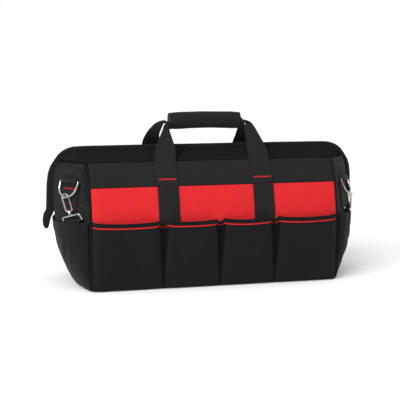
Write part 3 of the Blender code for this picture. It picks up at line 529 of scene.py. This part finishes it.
def group_node(material, maker, label, vector, **values):
    """Places a shared group in a material, building it the first time."""
    tree = material.node_tree
    node = tree.nodes.new("ShaderNodeGroup")
    node.node_tree = bpy.data.node_groups.get(label) or maker()
    tree.links.new(vector, node.inputs["Vector"])
    for key, value in values.items():
        node.inputs[key].default_value = value
    return node.outputs


def new_material(name):
    """A material with its tree, its surface shader and a coordinate node."""
    material = bpy.data.materials.new(name)
    material.use_nodes = True
    tree = material.node_tree
    return material, tree, tree.nodes["Principled BSDF"], tree.nodes.new("ShaderNodeTexCoord")


def colour_mix(tree, amount, second):
    """A blend towards a second colour by a linked amount; the first is set on the returned node."""
    mix = tree.nodes.new("ShaderNodeMix")
    mix.data_type = "RGBA"
    mix.inputs["B"].default_value = (*second, 1)
    tree.links.new(amount, mix.inputs["Factor"])
    return mix


def bumped(tree, shader, height, strength, distance):
    """Fine relief of a surface from a height."""
    bump = tree.nodes.new("ShaderNodeBump")
    bump.inputs["Strength"].default_value = strength
    bump.inputs["Distance"].default_value = distance
    tree.links.new(height, bump.inputs["Height"])
    tree.links.new(bump.outputs["Normal"], shader.inputs["Normal"])


def fabric(name, colour, pattern, pitch, relief, roughness=0.88, sheen=0.05, worn=0.35, lighter=1.8,
           gloss=0.11):
    """A woven material: thread relief, thread-to-thread colour, rubbed patches and a soft sheen."""
    known = bpy.data.materials.get(name)
    if known:
        return known
    material, tree, shader, place = new_material(name)
    maker, label = plain_weave, "Plain weave"
    if pattern == "webbing":
        maker, label = ribbed_webbing, "Ribbed webbing"
    threads = group_node(material, maker, label, place.outputs["UV"], Pitch=pitch)
    wear = group_node(material, soft_wear, "Soft wear", place.outputs["Object"], Scale=14.0)
    dark = colour_mix(tree, threads["Shade"], [min(1.0, part * 1.28) for part in colour])
    dark.inputs["A"].default_value = (*[part * 0.72 for part in colour], 1)
    amount = number(tree, "MULTIPLY", number(tree, "MULTIPLY", wear["Mask"], wear["Fine"]), worn)
    rubbed = colour_mix(tree, amount, [min(1.0, part * lighter) for part in colour])
    tree.links.new(dark.outputs["Result"], rubbed.inputs["A"])
    tree.links.new(rubbed.outputs["Result"], shader.inputs["Base Color"])
    rough = number(tree, "MULTIPLY_ADD", threads["Height"], -0.12, roughness + 0.06)
    tree.links.new(rough, shader.inputs["Roughness"])
    shader.inputs["Specular IOR Level"].default_value = gloss
    shader.inputs["Sheen Weight"].default_value = sheen
    shader.inputs["Sheen Roughness"].default_value = 0.45
    bumped(tree, shader, threads["Height"], 0.7, relief)
    return material


def black_cloth():
    return fabric("black_cloth", colours().black_cloth, "weave", sizes().cloth_pitch, 0.00022)


def pocket_cloth():
    return fabric("pocket_cloth", colours().pocket_cloth, "weave", sizes().cloth_pitch, 0.00022)


def pleat_painted_shade_cloth():
    """The pocket cloth inside the pleats, darkened as painted shade for the deep V, and with no rubbed
    patches.
    """
    # Painted shade: the colour inside the pleats is the pocket cloth's at 0.42.
    colour = [part * 0.42 for part in colours().pocket_cloth]
    return fabric("pleat_painted_shade_cloth", colour, "weave", sizes().cloth_pitch, 0.00022, worn=0.0)


def sleeve_cloth():
    return fabric("sleeve_cloth", colours().sleeve_cloth, "weave", sizes().cloth_pitch * 1.4, 0.00030,
                  sheen=0.0, gloss=0.02)


def red_cloth():
    return fabric("red_cloth", colours().red_cloth, "weave", sizes().cloth_pitch, 0.00016,
                  worn=0.25, lighter=1.12)


def webbing_cloth():
    return fabric("ribbed_webbing", colours().webbing, "webbing", sizes().webbing_pitch, 0.00030)


def binding_cloth():
    return fabric("ribbed_binding", colours().binding, "webbing", sizes().webbing_pitch * 0.6, 0.00018)


def zip_cloth():
    return fabric("zip_tape_cloth", colours().zip_tape, "webbing", sizes().webbing_pitch * 0.5, 0.00014)


def piping_cloth():
    return fabric("red_piping_cloth", colours().red_piping, "weave", sizes().cloth_pitch * 0.6, 0.00010,
                  worn=0.2, lighter=1.12)


def grip_cloth():
    return fabric("grip_cloth", colours().black_cloth, "weave", sizes().cloth_pitch * 0.8, 0.00016,
                  worn=0.45)


def red_thread():
    return fabric("red_thread", colours().red_piping, "weave", sizes().thread, 0.00008, roughness=0.6,
                  sheen=0.1, lighter=1.1)


def black_thread():
    return fabric("black_thread", colours().black_thread, "weave", sizes().thread, 0.00008, roughness=0.55)


def coil_plastic():
    return fabric("zip_coil", colours().binding, "weave", sizes().thread, 0.00005, roughness=0.42)


def bright_steel():
    """Plated steel with faint draw marks and duller patches."""
    known = bpy.data.materials.get("bright_steel")
    if known:
        return known
    material, tree, shader, place = new_material("bright_steel")
    wear = group_node(material, soft_wear, "Soft wear", place.outputs["Object"], Scale=160.0)
    tint = colour_mix(tree, wear["Mask"], [part * 0.72 for part in colours().steel])
    tint.inputs["A"].default_value = (*colours().steel, 1)
    tree.links.new(tint.outputs["Result"], shader.inputs["Base Color"])
    shader.inputs["Metallic"].default_value = 1.0
    tree.links.new(number(tree, "MULTIPLY_ADD", wear["Mask"], 0.16, 0.17), shader.inputs["Roughness"])
    bumped(tree, shader, wear["Fine"], 0.25, 0.00005)
    return material


# Stitches


def add_stitch(shape, spot, along, normal, length, thickness):
    """One stitch, a small bead drawn out along the seam and half sunk in the cloth."""
    side = normal.cross(along).normalized()
    turn = Matrix((along, side, normal)).transposed().to_4x4()
    size = Matrix.Diagonal((length / 2, thickness / 2, thickness / 2, 1))
    bmesh.ops.create_icosphere(
        shape, subdivisions=1, radius=1.0, matrix=Matrix.Translation(spot) @ turn @ size)


def gather(whole, part):
    """Adds a small mesh to a larger one."""
    mesh = bpy.data.meshes.new("part")
    part.to_mesh(mesh)
    part.free()
    whole.from_mesh(mesh)
    bpy.data.meshes.remove(mesh)


def sew(shape, skin, start, end, ray, pitch=None, share=0.72, thickness=None, lift=0.15):
    """A row of stitches from start to end, laid on whatever the ray meets first."""
    pitch = pitch or sizes().stitch_pitch
    thickness = thickness or sizes().thread
    ray = Vector(ray).normalized()
    line = Vector(end) - Vector(start)
    count = max(1, round(line.length / pitch))
    hits = []
    for index in range(count + 1):
        spot = Vector(start) + line * index / count - ray * 0.06
        found, normal, _, _ = skin.ray_cast(spot, ray, 0.16)
        hits.append((found, normal if found is None or normal.dot(ray) < 0 else -normal))
    row = bmesh.new()
    for (here, normal), (ahead, _) in zip(hits, hits[1:]):
        if here is None or ahead is None or (ahead - here).length > 2.2 * pitch:
            continue
        along = (ahead - here).normalized()
        flat = (normal - along * normal.dot(along)).normalized()
        middle = (here + ahead) / 2 + flat * thickness * lift
        add_stitch(row, middle, along, flat, (ahead - here).length * share, thickness)
    gather(shape, row)


class BAG_OT_body(bpy.types.Operator):
    """Long panels, base and the upper flaps of the body"""

    bl_idname = "bag.body"
    bl_label = "Body"

    def execute(self, context):
        black = black_cloth()
        for name in ("front_panel", "back_panel"):
            piece = cloth(name, f"{name}_cloth", black, sewn_to_front, levels=4)
        cloth("base_panel", "base_panel_cloth", black, levels=0, soften=0.0008)
        for name in ("front_upper_panel", "back_upper_panel"):
            piece = cloth(name, f"{name}_cloth", black, sewn_to_front, levels=4)
        return {"FINISHED"}


class BAG_OT_front_layers(bpy.types.Operator):
    """Red band, webbing strips and corner piping"""

    bl_idname = "bag.front_layers"
    bl_label = "Band, strips and piping"

    def execute(self, context):
        band = cloth("red_band", "red_band_cloth", red_cloth(), band_move, levels=4)
        for face in ("front", "back"):
            for hand in SIDES:
                cloth(f"{face}_strip_{hand}", f"{face}_strip_{hand}_webbing", webbing_cloth(),
                      sewn_to_front)
                cloth(f"{face}_piping_{hand}", f"{face}_piping_{hand}_cord", binding_cloth(),
                      levels=2, crease=0.0, soften=0)
        return {"FINISHED"}


class BAG_OT_front_pockets(bpy.types.Operator):
    """Four front pockets with bound edges, red piping and open pleats between them"""

    bl_idname = "bag.front_pockets"
    bl_label = "Front pockets"

    def execute(self, context):
        for number_in_row in range(1, 5):
            low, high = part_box(f"front_pocket_{number_in_row}")
            left, right = low.x, high.x
            outer_left, outer_right = number_in_row == 1, number_in_row == 4

            def pocket_move(point, left=left, right=right, outer_left=outer_left, outer_right=outer_right):
                width = right - left
                share = min(1.0, max(0.0, (point.x - left) / width))
                up = min(1.0, max(0.0, (point.z - POCKET_FOOT) / (POCKET_TOP - POCKET_FOOT)))
                near_left = share < 0.5
                from_side = min(share, 1 - share)
                outer = outer_left if near_left else outer_right
                reach = 0.0020 if outer else sizes().pleat_width * up ** 1.15
                full = POCKET_DEPTH * on_steps(POCKET_FULLNESS, up)
                before = on_steps(PLEAT_STEPS, from_side)
                place = from_side * width
                after = before * step_between(reach * 0.82, reach * 1.05 + 0.0028, place)
                back = full * (before - after)
                inside = step_between(0.004, 0.030, place)
                wrinkle = folds_at(POCKET_FOLDS, point.x, point.z) * inside
                wrinkle += slack_at(point.x, point.z, 23) * 0.9 * inside
                wrinkle *= step_between(0.004, 0.022, point.z)
                shared = front_move(point)
                sag = sizes().hem_sag * math.sin(math.pi * share) * up**3
                dip = 0.0
                if not outer:
                    sewn = math.exp(-((place / (reach * 0.62 + 0.0006)) ** 4))
                    dip = sizes().hem_dip * sewn * up**6
                meet = 0.00042 * (1 - step_between(0.0, 0.004, place))
                if outer:
                    meet = (0.0036 if near_left else 0.0012) * (1 - step_between(0.004, 0.030, place))
                return Vector((-meet if near_left else meet, back - wrinkle - shared, -sag - dip))

            cloth_piece = cloth(f"front_pocket_{number_in_row}", f"front_pocket_{number_in_row}_cloth",
                                pocket_cloth(), pocket_move)
            paint_pleat_shade(cloth_piece, left, right, outer_left, outer_right)
            binding = cloth(f"pocket_binding_{number_in_row}", f"pocket_binding_{number_in_row}_tape",
                            binding_cloth(), pocket_move, crease=0.72, soften=0)
            piping = cloth(f"pocket_piping_{number_in_row}", f"pocket_piping_{number_in_row}_cord",
                           piping_cloth(), pocket_move, levels=2, crease=0.0, soften=0)
        return {"FINISHED"}


def paint_pleat_shade(piece, left, right, outer_left, outer_right):
    """Gives the faces inside the open pleats the darker pleat material, painted shade for the deep V."""
    # Painted shade: faces within the pleat's reach take the darkened second material slot.
    piece.data.materials.append(pleat_painted_shade_cloth())
    for face in piece.data.polygons:
        up = min(1.0, max(0.0, (face.center.z - POCKET_FOOT) / (POCKET_TOP - POCKET_FOOT)))
        reach = sizes().pleat_width * up**1.15 + 0.0014
        inner_left = not outer_left and face.center.x - left < reach
        inner_right = not outer_right and right - face.center.x < reach
        if inner_left or inner_right:
            face.material_index = 1


def end_edge(node):
    """How far from the middle an end panel's upright seam runs, as pairs of height and distance."""
    rows = {}
    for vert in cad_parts[node].data.vertices:
        height = round(vert.co.z, 4)
        rows[height] = max(rows.get(height, 0.0), abs(vert.co.y))
    return sorted(rows.items())


def seam_tape(name, node, skin, side, face, material):
    """A folded tape laid along an end's upright seam, over the pocket and the panel alike."""
    edge = end_edge(node)
    low, high = edge[0][0] + 0.001, edge[-1][0] - 0.001
    shape = bmesh.new()
    bmesh.ops.create_grid(shape, x_segments=64, y_segments=3, size=0.5)
    for vert in shape.verts:
        height = low + (high - low) * (vert.co.x + 0.5)
        y = face * (on_steps(edge, height) - 0.0002 - sizes().tape_width * (vert.co.y + 0.5))
        found = None
        for tree in skin:
            spot = tree.ray_cast(Vector((side * 0.36, y, height)), Vector((-side, 0, 0)), 0.3)[0]
            if spot and (found is None or spot.x * side > found.x * side):
                found = spot
        vert.co = found + Vector((side * 0.0004, 0, 0)) if found else Vector((side * 0.226, y, height))
    bmesh.ops.recalc_face_normals(shape, faces=shape.faces)
    shape.normal_update()
    middle = min(shape.faces, key=lambda item: abs(item.calc_center_median().z - 0.12))
    if middle.normal.x * side < 0:
        bmesh.ops.reverse_faces(shape, faces=shape.faces)
    bmesh.ops.solidify(shape, geom=shape.faces, thickness=0.0009)
    bmesh.ops.recalc_face_normals(shape, faces=shape.faces)
    return put(name, shape, material, soften=0.0003)


class BAG_OT_ends(bpy.types.Operator):
    """End panels and their elastic-topped pockets"""

    bl_idname = "bag.ends"
    bl_label = "Ends"

    def execute(self, context):
        def pocket_move(point):
            across = abs(point.y)
            edge = step_between(0.0, 0.020, 0.092 - across)
            foot = step_between(0.006, 0.040, point.z)
            gather = sizes().gather_depth * math.sin(2 * math.pi * point.y / sizes().gather_pitch)
            gather *= step_between(HEM_FOOT - 0.030, HEM_FOOT, point.z)
            away = slack_at(point.y, point.z, 31 if point.x < 0 else 37)
            away += folds_at(END_POCKET_FOLDS, point.y, point.z)
            away *= 1 - step_between(HEM_FOOT - 0.012, HEM_TOP, point.z)
            drop = sizes().end_sag * (1 - (across / 0.092) ** 2) * step_between(0.050, HEM_TOP, point.z)
            return Vector((math.copysign((gather + away) * edge * foot, point.x), 0, -drop * edge))

        for hand in SIDES:
            panel = cloth(f"end_panel_{hand}", f"end_panel_{hand}_cloth", black_cloth(),
                          end_cloth)
            pocket = cloth(f"end_pocket_{hand}", f"end_pocket_{hand}_cloth", pocket_cloth(),
                           pocket_move)
            hem = cloth(f"end_hem_{hand}", f"end_hem_{hand}_cloth", pocket_cloth(),
                        pocket_move)
            skins = [skin_of(piece.name) for piece in (panel, pocket, hem)]
            for face, word in ((-1, "front"), (1, "back")):
                seam_tape(f"end_tape_{hand}_{word}", f"end_panel_{hand}", skins, SIDES[hand], face,
                          binding_cloth())
        return {"FINISHED"}


def zip_outline():
    """The zip's outer edge from the left tail's tip over the ridge to the right one, from the solid."""
    centre = Vector((0, 0, 0.09))
    shape = merged("zipper")
    rows = []
    for vert in shape.verts:
        if vert.co.y < 0:
            continue
        flat = Vector((vert.co.x, 0, vert.co.z)) - centre
        rows.append((math.atan2(flat.z, -flat.x), flat.length, vert.co.copy()))
    shape.free()
    ordered = sorted(rows, key=lambda row: row[0])
    outer = []
    for angle, length, spot in ordered:
        near = [row for row in ordered if abs(row[0] - angle) < 0.05 and (row[2] - spot).length < 0.018]
        if length >= max(row[1] for row in near) - 0.0035:
            outer.append(Vector((spot.x, 0, spot.z)))
    return outer


def resampled(line, pitch):
    """Points at an even pitch along a line."""
    points, carried = [line[0].copy()], 0.0
    for start, end in zip(line, line[1:]):
        length = (end - start).length
        at = pitch - carried
        while at <= length:
            points.append(start.lerp(end, at / length))
            at += pitch
        carried = length - (at - pitch)
    return points


def mouth_gusset(name, side):
    """The corner of a sleeve that closes the mouth from its end edge to the zip."""
    face = 1 if name.startswith("back") else -1
    spots = [vert.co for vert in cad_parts[name].data.vertices if vert.co.x * side > 0]
    foot = min(spot.z for spot in spots)
    low = max((spot for spot in spots if spot.z < foot + 0.0005), key=lambda spot: spot.x * side)
    high = max((spot for spot in spots if abs(spot.y) < 0.0048), key=lambda spot: spot.x * side)
    low = Vector((low.x - side * 0.0010, low.y, low.z - 0.0050))
    low_in = Vector((low.x + side * 0.0065, face * 0.0026, low.z))
    high_in = Vector((high.x + side * 0.0004, face * 0.0026, high.z))
    shape = bmesh.new()
    bmesh.ops.create_grid(shape, x_segments=6, y_segments=8, size=0.5)
    for vert in shape.verts:
        across, up = vert.co.x + 0.5, vert.co.y + 0.5
        start, end = low.lerp(low_in, across), high.lerp(high_in, across)
        bulge = 0.0008 * math.sin(math.pi * up) * math.sin(math.pi * min(1.0, across + 0.2))
        vert.co = start.lerp(end, up) + Vector((side * bulge, face * bulge, 0))
    bmesh.ops.recalc_face_normals(shape, faces=shape.faces)
    bmesh.ops.solidify(shape, geom=shape.faces, thickness=0.0012)
    bmesh.ops.recalc_face_normals(shape, faces=shape.faces)
    return shape


def mouth_cord(name, skin, face, material):
    """A thin seam cord round the foot of a sleeve, from one side of the zip to the other."""
    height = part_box("front_sleeve")[0].z + 0.0009
    rays = []
    for step in range(9):
        rays.append((Vector((LEFT * 0.4, face * (0.004 + 0.0062 * step), height)), Vector((1, 0, 0))))
    for step in range(37):
        rays.append((Vector((-0.222 + 0.444 * step / 36, face * 0.3, height)), Vector((0, -face, 0))))
    for step in range(9):
        rays.append((Vector((RIGHT * 0.4, face * (0.0536 - 0.0062 * step), height)), Vector((-1, 0, 0))))
    curve = bpy.data.curves.new(name, "CURVE")
    curve.dimensions = "3D"
    curve.bevel_depth = 0.0011
    curve.bevel_resolution = 2
    curve.use_fill_caps = True
    spots = [skin.ray_cast(start, way, 0.3)[0] for start, way in rays]
    spots = [spot for spot in spots if spot]
    spline = curve.splines.new("POLY")
    spline.points.add(len(spots) - 1)
    for point, spot in zip(spline.points, spots):
        point.co = (spot.x * 0.9985, spot.y * 0.994, height - 0.0012, 1)
    helper = bpy.data.objects.new(name, curve)
    bpy.context.scene.collection.objects.link(helper)
    mesh = bpy.data.meshes.new_from_object(helper.evaluated_get(bpy.context.evaluated_depsgraph_get()))
    bpy.data.objects.remove(helper)
    shape = bmesh.new()
    shape.from_mesh(mesh)
    bpy.data.meshes.remove(mesh)
    bmesh.ops.remove_doubles(shape, verts=shape.verts, dist=0.00001)
    bmesh.ops.recalc_face_normals(shape, faces=shape.faces)
    return put(name, shape, material)


class BAG_OT_mouth(bpy.types.Operator):
    """Sleeves along the mouth, zip tape and its coils"""

    bl_idname = "bag.mouth"
    bl_label = "Mouth and zip"

    def execute(self, context):
        for name in ("front_sleeve", "back_sleeve"):
            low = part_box(name)[0].z

            def sleeve_move(point, low=low):
                foot = step_between(0.0, 0.006, point.z - low)
                top = step_between(0.0, 0.008, abs(point.y) - 0.004)
                corner = 1 - step_between(0.0, 0.030, abs(point.x) - 0.225)
                away = 0.7 * slack_at(point.x, point.y, 43) * foot * top * corner
                return Vector((0, math.copysign(away * 0.3, point.y), away))

            shape = smoothed(merged(name), 3, 1.0)
            for vert in shape.verts:
                vert.co += sleeve_move(vert.co)
            for side in SIDES.values():
                gather(shape, mouth_gusset(name, side))
            shape.normal_update()
            piece = put(f"{name}_cloth", shape, sleeve_cloth(), (name,), soften=0.0004)
            face = name.split("_")[0]
            toward = -1 if face == "front" else 1
            mouth_cord(f"{name}_cord", skin_of(piece.name), toward, binding_cloth())
        # A knot of cloth at each end of the mouth, where the sleeves, the zip and the end meet.
        low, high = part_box("front_sleeve")
        for label, edge in (("left", low.x), ("right", high.x)):
            corner = bmesh.new()
            place = Matrix.Translation((edge - math.copysign(0.0010, edge), 0, low.z - 0.0030))
            size = Matrix.Diagonal((0.0084, 0.0200, 0.0090, 1))
            bmesh.ops.create_cube(corner, size=1.0, matrix=place @ size)
            bmesh.ops.bevel(corner, geom=corner.edges[:], offset=0.0020, segments=3, affect="EDGES")
            put(f"zip_corner_{label}", corner, sleeve_cloth())
        cloth("zipper", "zip_tape", zip_cloth(), levels=1, soften=0.0006)
        coils, run = bmesh.new(), bmesh.new()
        points = resampled(zip_outline(), sizes().tooth_pitch)
        for index, (here, ahead) in enumerate(zip(points, points[1:])):
            if index % 50 == 49:
                gather(coils, run)
                run = bmesh.new()
            along = (ahead - here).normalized()
            out = Vector((-along.z, 0, along.x))
            side = Vector((0, 1, 0))
            swing = Matrix.Rotation(math.radians(24 if index % 2 else -24), 4, out)
            turn = Matrix((side, along, side.cross(along))).transposed().to_4x4()
            size = Matrix.Diagonal((0.0021, sizes().tooth_pitch * 0.42, 0.0008, 1))
            place = Matrix.Translation((here + ahead) / 2 - out * 0.00045) @ swing @ turn @ size
            bmesh.ops.create_icosphere(run, subdivisions=1, radius=1.0, matrix=place)
        gather(coils, run)
        put("zip_coils", coils, coil_plastic())
        return {"FINISHED"}


class BAG_OT_handles(bpy.types.Operator):
    """Four handle legs and the padded grip"""

    bl_idname = "bag.handles"
    bl_label = "Handles and grip"

    def execute(self, context):
        def leg_move(point):
            sewn = 1 - step_between(SEAM_TOP - 0.006, SEAM_TOP + 0.002, point.z)
            return sewn_to_front(point) * sewn

        for face in ("front", "back"):
            for hand in SIDES:
                cloth(f"{face}_handle_{hand}", f"{face}_handle_{hand}_webbing", webbing_cloth(),
                      leg_move, crease=0.75, soften=0)
        shape = smoothed(merged("handle_grip"), 3, 0.9)
        low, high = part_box("handle_grip")
        half = (high.x - low.x) / 2
        middle = Vector((0, 0, (low.z + high.z) / 2))
        for vert in shape.verts:
            spot = vert.co - middle
            share = abs(spot.x) / half
            round_out = Vector((0, spot.y, spot.z)).normalized()
            pinch = 0.0004 * math.exp(-(((share - 0.90) / 0.035) ** 2))
            lip = 0.0008 * math.exp(-(((share - 1.0) / 0.050) ** 2))
            wave = 0.0007 * noise.noise(Vector((spot.x / 0.030, math.atan2(spot.z, spot.y) * 1.3, 3.7)))
            flap = 0.0
            around = math.atan2(spot.z, -spot.y)
            if around < math.radians(-38):
                flap = 0.0011 * step_between(math.radians(-58), math.radians(-38), around)
            vert.co += round_out * (lip + wave - pinch - flap)
        shape.normal_update()
        grip = put("grip_cover", shape, grip_cloth(), ("handle_grip",), soften=0.0006)
        return {"FINISHED"}


class BAG_OT_tabs(bpy.types.Operator):
    """Webbing tabs of the rings and the end of strap in the left pocket"""

    bl_idname = "bag.tabs"
    bl_label = "Tabs and strap end"

    def execute(self, context):
        for node in ("ring_tab_left", "ring_tab_right", "strap_end"):
            cloth(node, f"{node}_webbing", webbing_cloth(), levels=0)
        return {"FINISHED"}


class BAG_OT_steel(bpy.types.Operator):
    """Plated steel on the rings, hook, gate, loop, slider and pull"""

    bl_idname = "bag.steel"
    bl_label = "Steel fittings"

    def execute(self, context):
        steel = bright_steel()
        for name in ("d_ring_left", "d_ring_right", "hook_body", "hook_gate", "strap_loop",
                     "zip_slider", "zip_pull"):
            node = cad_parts[name]
            node.data.materials.clear()
            node.data.materials.append(steel)
        return {"FINISHED"}


class BAG_OT_stitching(bpy.types.Operator):
    """Seam stitches in black thread and bar tacks in red"""

    bl_idname = "bag.stitching"
    bl_label = "Stitching"

    def execute(self, context):
        black, red = bmesh.new(), bmesh.new()
        edge = PANEL_EDGE - 0.004
        for face, ray in (("front", (0, 1, 0)), ("back", (0, -1, 0))):
            stand = -FRONT_STAND if face == "front" else FRONT_STAND
            upper = skin_of(f"{face}_upper_panel_cloth")
            for height in (BAND_TOP + 0.0052, SEAM_TOP - 0.0030):
                sew(black, upper, (-edge, stand, height), (edge, stand, height), ray)
            sleeve = skin_of(f"{face}_sleeve_cloth")
            sign = 1 if face == "back" else -1
            for deep in (0.0095, 0.0520):
                sew(black, sleeve, (-edge, sign * deep, 0.26), (edge, sign * deep, 0.26), (0, 0, -1))
            for hand, side in SIDES.items():
                strip = skin_of(f"{face}_strip_{hand}_webbing")
                for shift in (-0.0165, 0.0165):
                    x = side * STRIP_PLACE + shift
                    foot = POCKET_TOP if face == "front" else 0.008
                    sew(black, strip, (x, stand, foot), (x, stand, BAND_TOP - 0.002), ray)
                leg = skin_of(f"{face}_handle_{hand}_webbing")
                foot = BAND_TOP + 0.004
                for shift in (-0.0168, 0.0168):
                    x = side * STRIP_PLACE + shift
                    sew(black, leg, (x, stand, foot), (x, stand, 0.2155), ray)
                for rise in (0.0, 0.0009, 0.0018):
                    height = BAND_TOP + 0.0115 + rise
                    start = (side * STRIP_PLACE - TACK_REACH, stand, height)
                    end = (side * STRIP_PLACE + TACK_REACH, stand, height)
                    sew(red, leg, start, end, ray, pitch=0.0011, share=1.25, thickness=0.0010, lift=0.3)
        for number_in_row in range(1, 5):
            low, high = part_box(f"front_pocket_{number_in_row}")
            binding = skin_of(f"pocket_binding_{number_in_row}_tape")
            height = POCKET_TOP - 0.0062
            lowest = ((low.x + high.x) / 2, -FRONT_STAND, height - sizes().hem_sag * 0.9)
            start = (low.x + 0.012, -FRONT_STAND, height)
            end = (high.x - 0.012, -FRONT_STAND, height)
            sew(black, binding, start, lowest, (0, 1, 0), pitch=0.0030)
            sew(black, binding, lowest, end, (0, 1, 0), pitch=0.0030)
        for hand, side in SIDES.items():
            ray = (-side, 0, 0)
            hem = skin_of(f"end_hem_{hand}_cloth")
            for height in (HEM_FOOT + 0.0030, HEM_FOOT + 0.0120, HEM_TOP - 0.0035):
                sew(black, hem, (side * END_STAND, -0.086, height), (side * END_STAND, 0.086, height), ray)
            panel = skin_of(f"end_panel_{hand}_cloth")
            for shift in (-0.0125, 0.0125):
                start = (side * END_STAND, shift, 0.139)
                sew(black, panel, start, (side * END_STAND, shift, SEAM_TOP - 0.004), ray)
            tab = skin_of(f"ring_tab_{hand}_webbing")
            low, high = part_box(f"ring_tab_{hand}")
            middle = (low + high) / 2
            look = Vector((-side * 0.80, 0.59, 0))
            across = Vector((look.y, -look.x, 0)).normalized() * 0.0150
            for rise in (0.0, 0.0010):
                spot = Vector((middle.x, middle.y, high.z - 0.0165 - rise))
                sew(red, tab, spot - across, spot + across, look, pitch=0.0011, share=1.25,
                    thickness=0.0010, lift=0.3)
            foot = low.z + 0.004
            for rise in (0.0, 0.010):
                spot = Vector((middle.x, middle.y, foot + rise))
                sew(red, tab, spot - across, spot + across, look, pitch=0.0030, thickness=0.00045,
                    lift=-0.05)
            for edge_side in (-1, 1):
                start = Vector((middle.x, middle.y, foot)) + across * edge_side
                end = Vector((start.x, start.y, high.z - 0.020))
                sew(black, tab, start, end, look)
        put("seam_stitches", black, black_thread())
        put("bar_tacks", red, red_thread())
        return {"FINISHED"}


def studio_world():
    """White behind the bag, and a softer glow, brighter above, that lights it."""
    world = bpy.data.worlds.new("studio")
    world.use_nodes = True
    tree = world.node_tree
    glow = tree.nodes["Background"]
    place = tree.nodes.new("ShaderNodeTexCoord")
    split = tree.nodes.new("ShaderNodeSeparateXYZ")
    tree.links.new(place.outputs["Generated"], split.inputs[0])
    ramp = tree.nodes.new("ShaderNodeValToRGB")
    stops = ramp.color_ramp.elements
    while len(stops) < len(STUDIO_GLOW):
        stops.new(0.5)
    for stop, (height, light) in zip(stops, STUDIO_GLOW):
        stop.position = height
        stop.color = (light, light, light, 1)
    tree.links.new(number(tree, "MULTIPLY_ADD", split.outputs["Z"], 0.5, 0.5), ramp.inputs["Fac"])
    tree.links.new(ramp.outputs["Color"], glow.inputs["Color"])
    white = tree.nodes.new("ShaderNodeBackground")
    white.inputs["Color"].default_value = (1, 1, 1, 1)
    path = tree.nodes.new("ShaderNodeLightPath")
    mix = tree.nodes.new("ShaderNodeMixShader")
    tree.links.new(path.outputs["Is Camera Ray"], mix.inputs["Fac"])
    tree.links.new(glow.outputs["Background"], mix.inputs[1])
    tree.links.new(white.outputs["Background"], mix.inputs[2])
    tree.links.new(mix.outputs["Shader"], tree.nodes["World Output"].inputs["Surface"])
    return world


class BAG_OT_stage(bpy.types.Operator):
    """Pale floor, soft studio light and the camera"""

    bl_idname = "bag.stage"
    bl_label = "Stage"

    def execute(self, context):
        scene = context.scene
        scene.view_settings.view_transform = "Standard"
        shape = bmesh.new()
        bmesh.ops.create_grid(shape, x_segments=1, y_segments=1, size=6.0)
        mesh = bpy.data.meshes.new("floor")
        shape.to_mesh(mesh)
        shape.free()
        material = bpy.data.materials.new("floor_white")
        material.use_nodes = True
        shader = material.node_tree.nodes["Principled BSDF"]
        shader.inputs["Base Color"].default_value = (0.93, 0.93, 0.93, 1)
        shader.inputs["Roughness"].default_value = 0.9
        shader.inputs["Specular IOR Level"].default_value = 0.1
        mesh.materials.append(material)
        floor = bpy.data.objects.new("floor", mesh)
        scene.collection.objects.link(floor)

        scene.world = studio_world()
        for name, toward, strength, spread in STUDIO_SUNS:
            light = bpy.data.lights.new(name, "SUN")
            light.energy = strength
            light.angle = math.radians(spread)
            lamp = bpy.data.objects.new(name, light)
            lamp.rotation_euler = Vector(toward).to_track_quat("Z", "Y").to_euler()
            scene.collection.objects.link(lamp)

        softbox = bpy.data.lights.new("left_softbox", "AREA")
        softbox.shape = "DISK"
        softbox.size = SOFTBOX_WIDTH
        softbox.energy = SOFTBOX_POWER
        lamp = bpy.data.objects.new("left_softbox", softbox)
        lamp.location = SOFTBOX_PLACE
        lamp.rotation_euler = (SOFTBOX_PLACE - SOFTBOX_AIM).to_track_quat("Z", "Y").to_euler()
        scene.collection.objects.link(lamp)

        turn, rise = math.radians(CAMERA["turn"]), math.radians(CAMERA["rise"])
        back = Vector((-math.sin(turn) * math.cos(rise), -math.cos(turn) * math.cos(rise), math.sin(rise)))
        right = Vector((math.cos(turn), -math.sin(turn), 0))
        data = bpy.data.cameras.new("camera")
        data.sensor_width = CAMERA["sensor"]
        data.lens = CAMERA["lens"]
        camera = bpy.data.objects.new("camera", data)
        scene.collection.objects.link(camera)
        place = Matrix((right, back.cross(right), back)).transposed().to_4x4()
        place.translation = CAMERA_TARGET + back * CAMERA["distance"]
        camera.matrix_world = place
        scene.camera = camera
        return {"FINISHED"}


class BAG_PT_panel(bpy.types.Panel):
    """Sizes, colours and steps of the tool bag"""

    bl_idname = "BAG_PT_panel"
    bl_label = "Tool Bag"
    bl_space_type = "VIEW_3D"
    bl_region_type = "UI"
    bl_category = "Tool Bag"

    def draw(self, context):
        layout = self.layout
        for group in (context.scene.bag_colours, context.scene.bag_sizes):
            box = layout.box()
            for key in group.__annotations__:
                box.prop(group, key)
        for step in STEPS:
            layout.operator(step.bl_idname)


STEPS = (
    BAG_OT_stage,
    BAG_OT_body,
    BAG_OT_front_layers,
    BAG_OT_front_pockets,
    BAG_OT_ends,
    BAG_OT_mouth,
    BAG_OT_handles,
    BAG_OT_tabs,
    BAG_OT_steel,
    BAG_OT_stitching,
)
CLASSES = (BagColours, BagSizes, *STEPS, BAG_PT_panel)


def register():
    for thing in CLASSES:
        bpy.utils.register_class(thing)
    bpy.types.Scene.bag_colours = bpy.props.PointerProperty(type=BagColours)
    bpy.types.Scene.bag_sizes = bpy.props.PointerProperty(type=BagSizes)


def unregister():
    del bpy.types.Scene.bag_sizes
    del bpy.types.Scene.bag_colours
    for thing in reversed(CLASSES):
        bpy.utils.unregister_class(thing)


def main():
    register()
    bpy.ops.bag.stage()
    bpy.ops.bag.body()
    bpy.ops.bag.front_layers()
    bpy.ops.bag.front_pockets()
    bpy.ops.bag.ends()
    bpy.ops.bag.mouth()
    bpy.ops.bag.handles()
    bpy.ops.bag.tabs()
    bpy.ops.bag.steel()
    bpy.ops.bag.stitching()


if __name__ == "__main__":
    main()
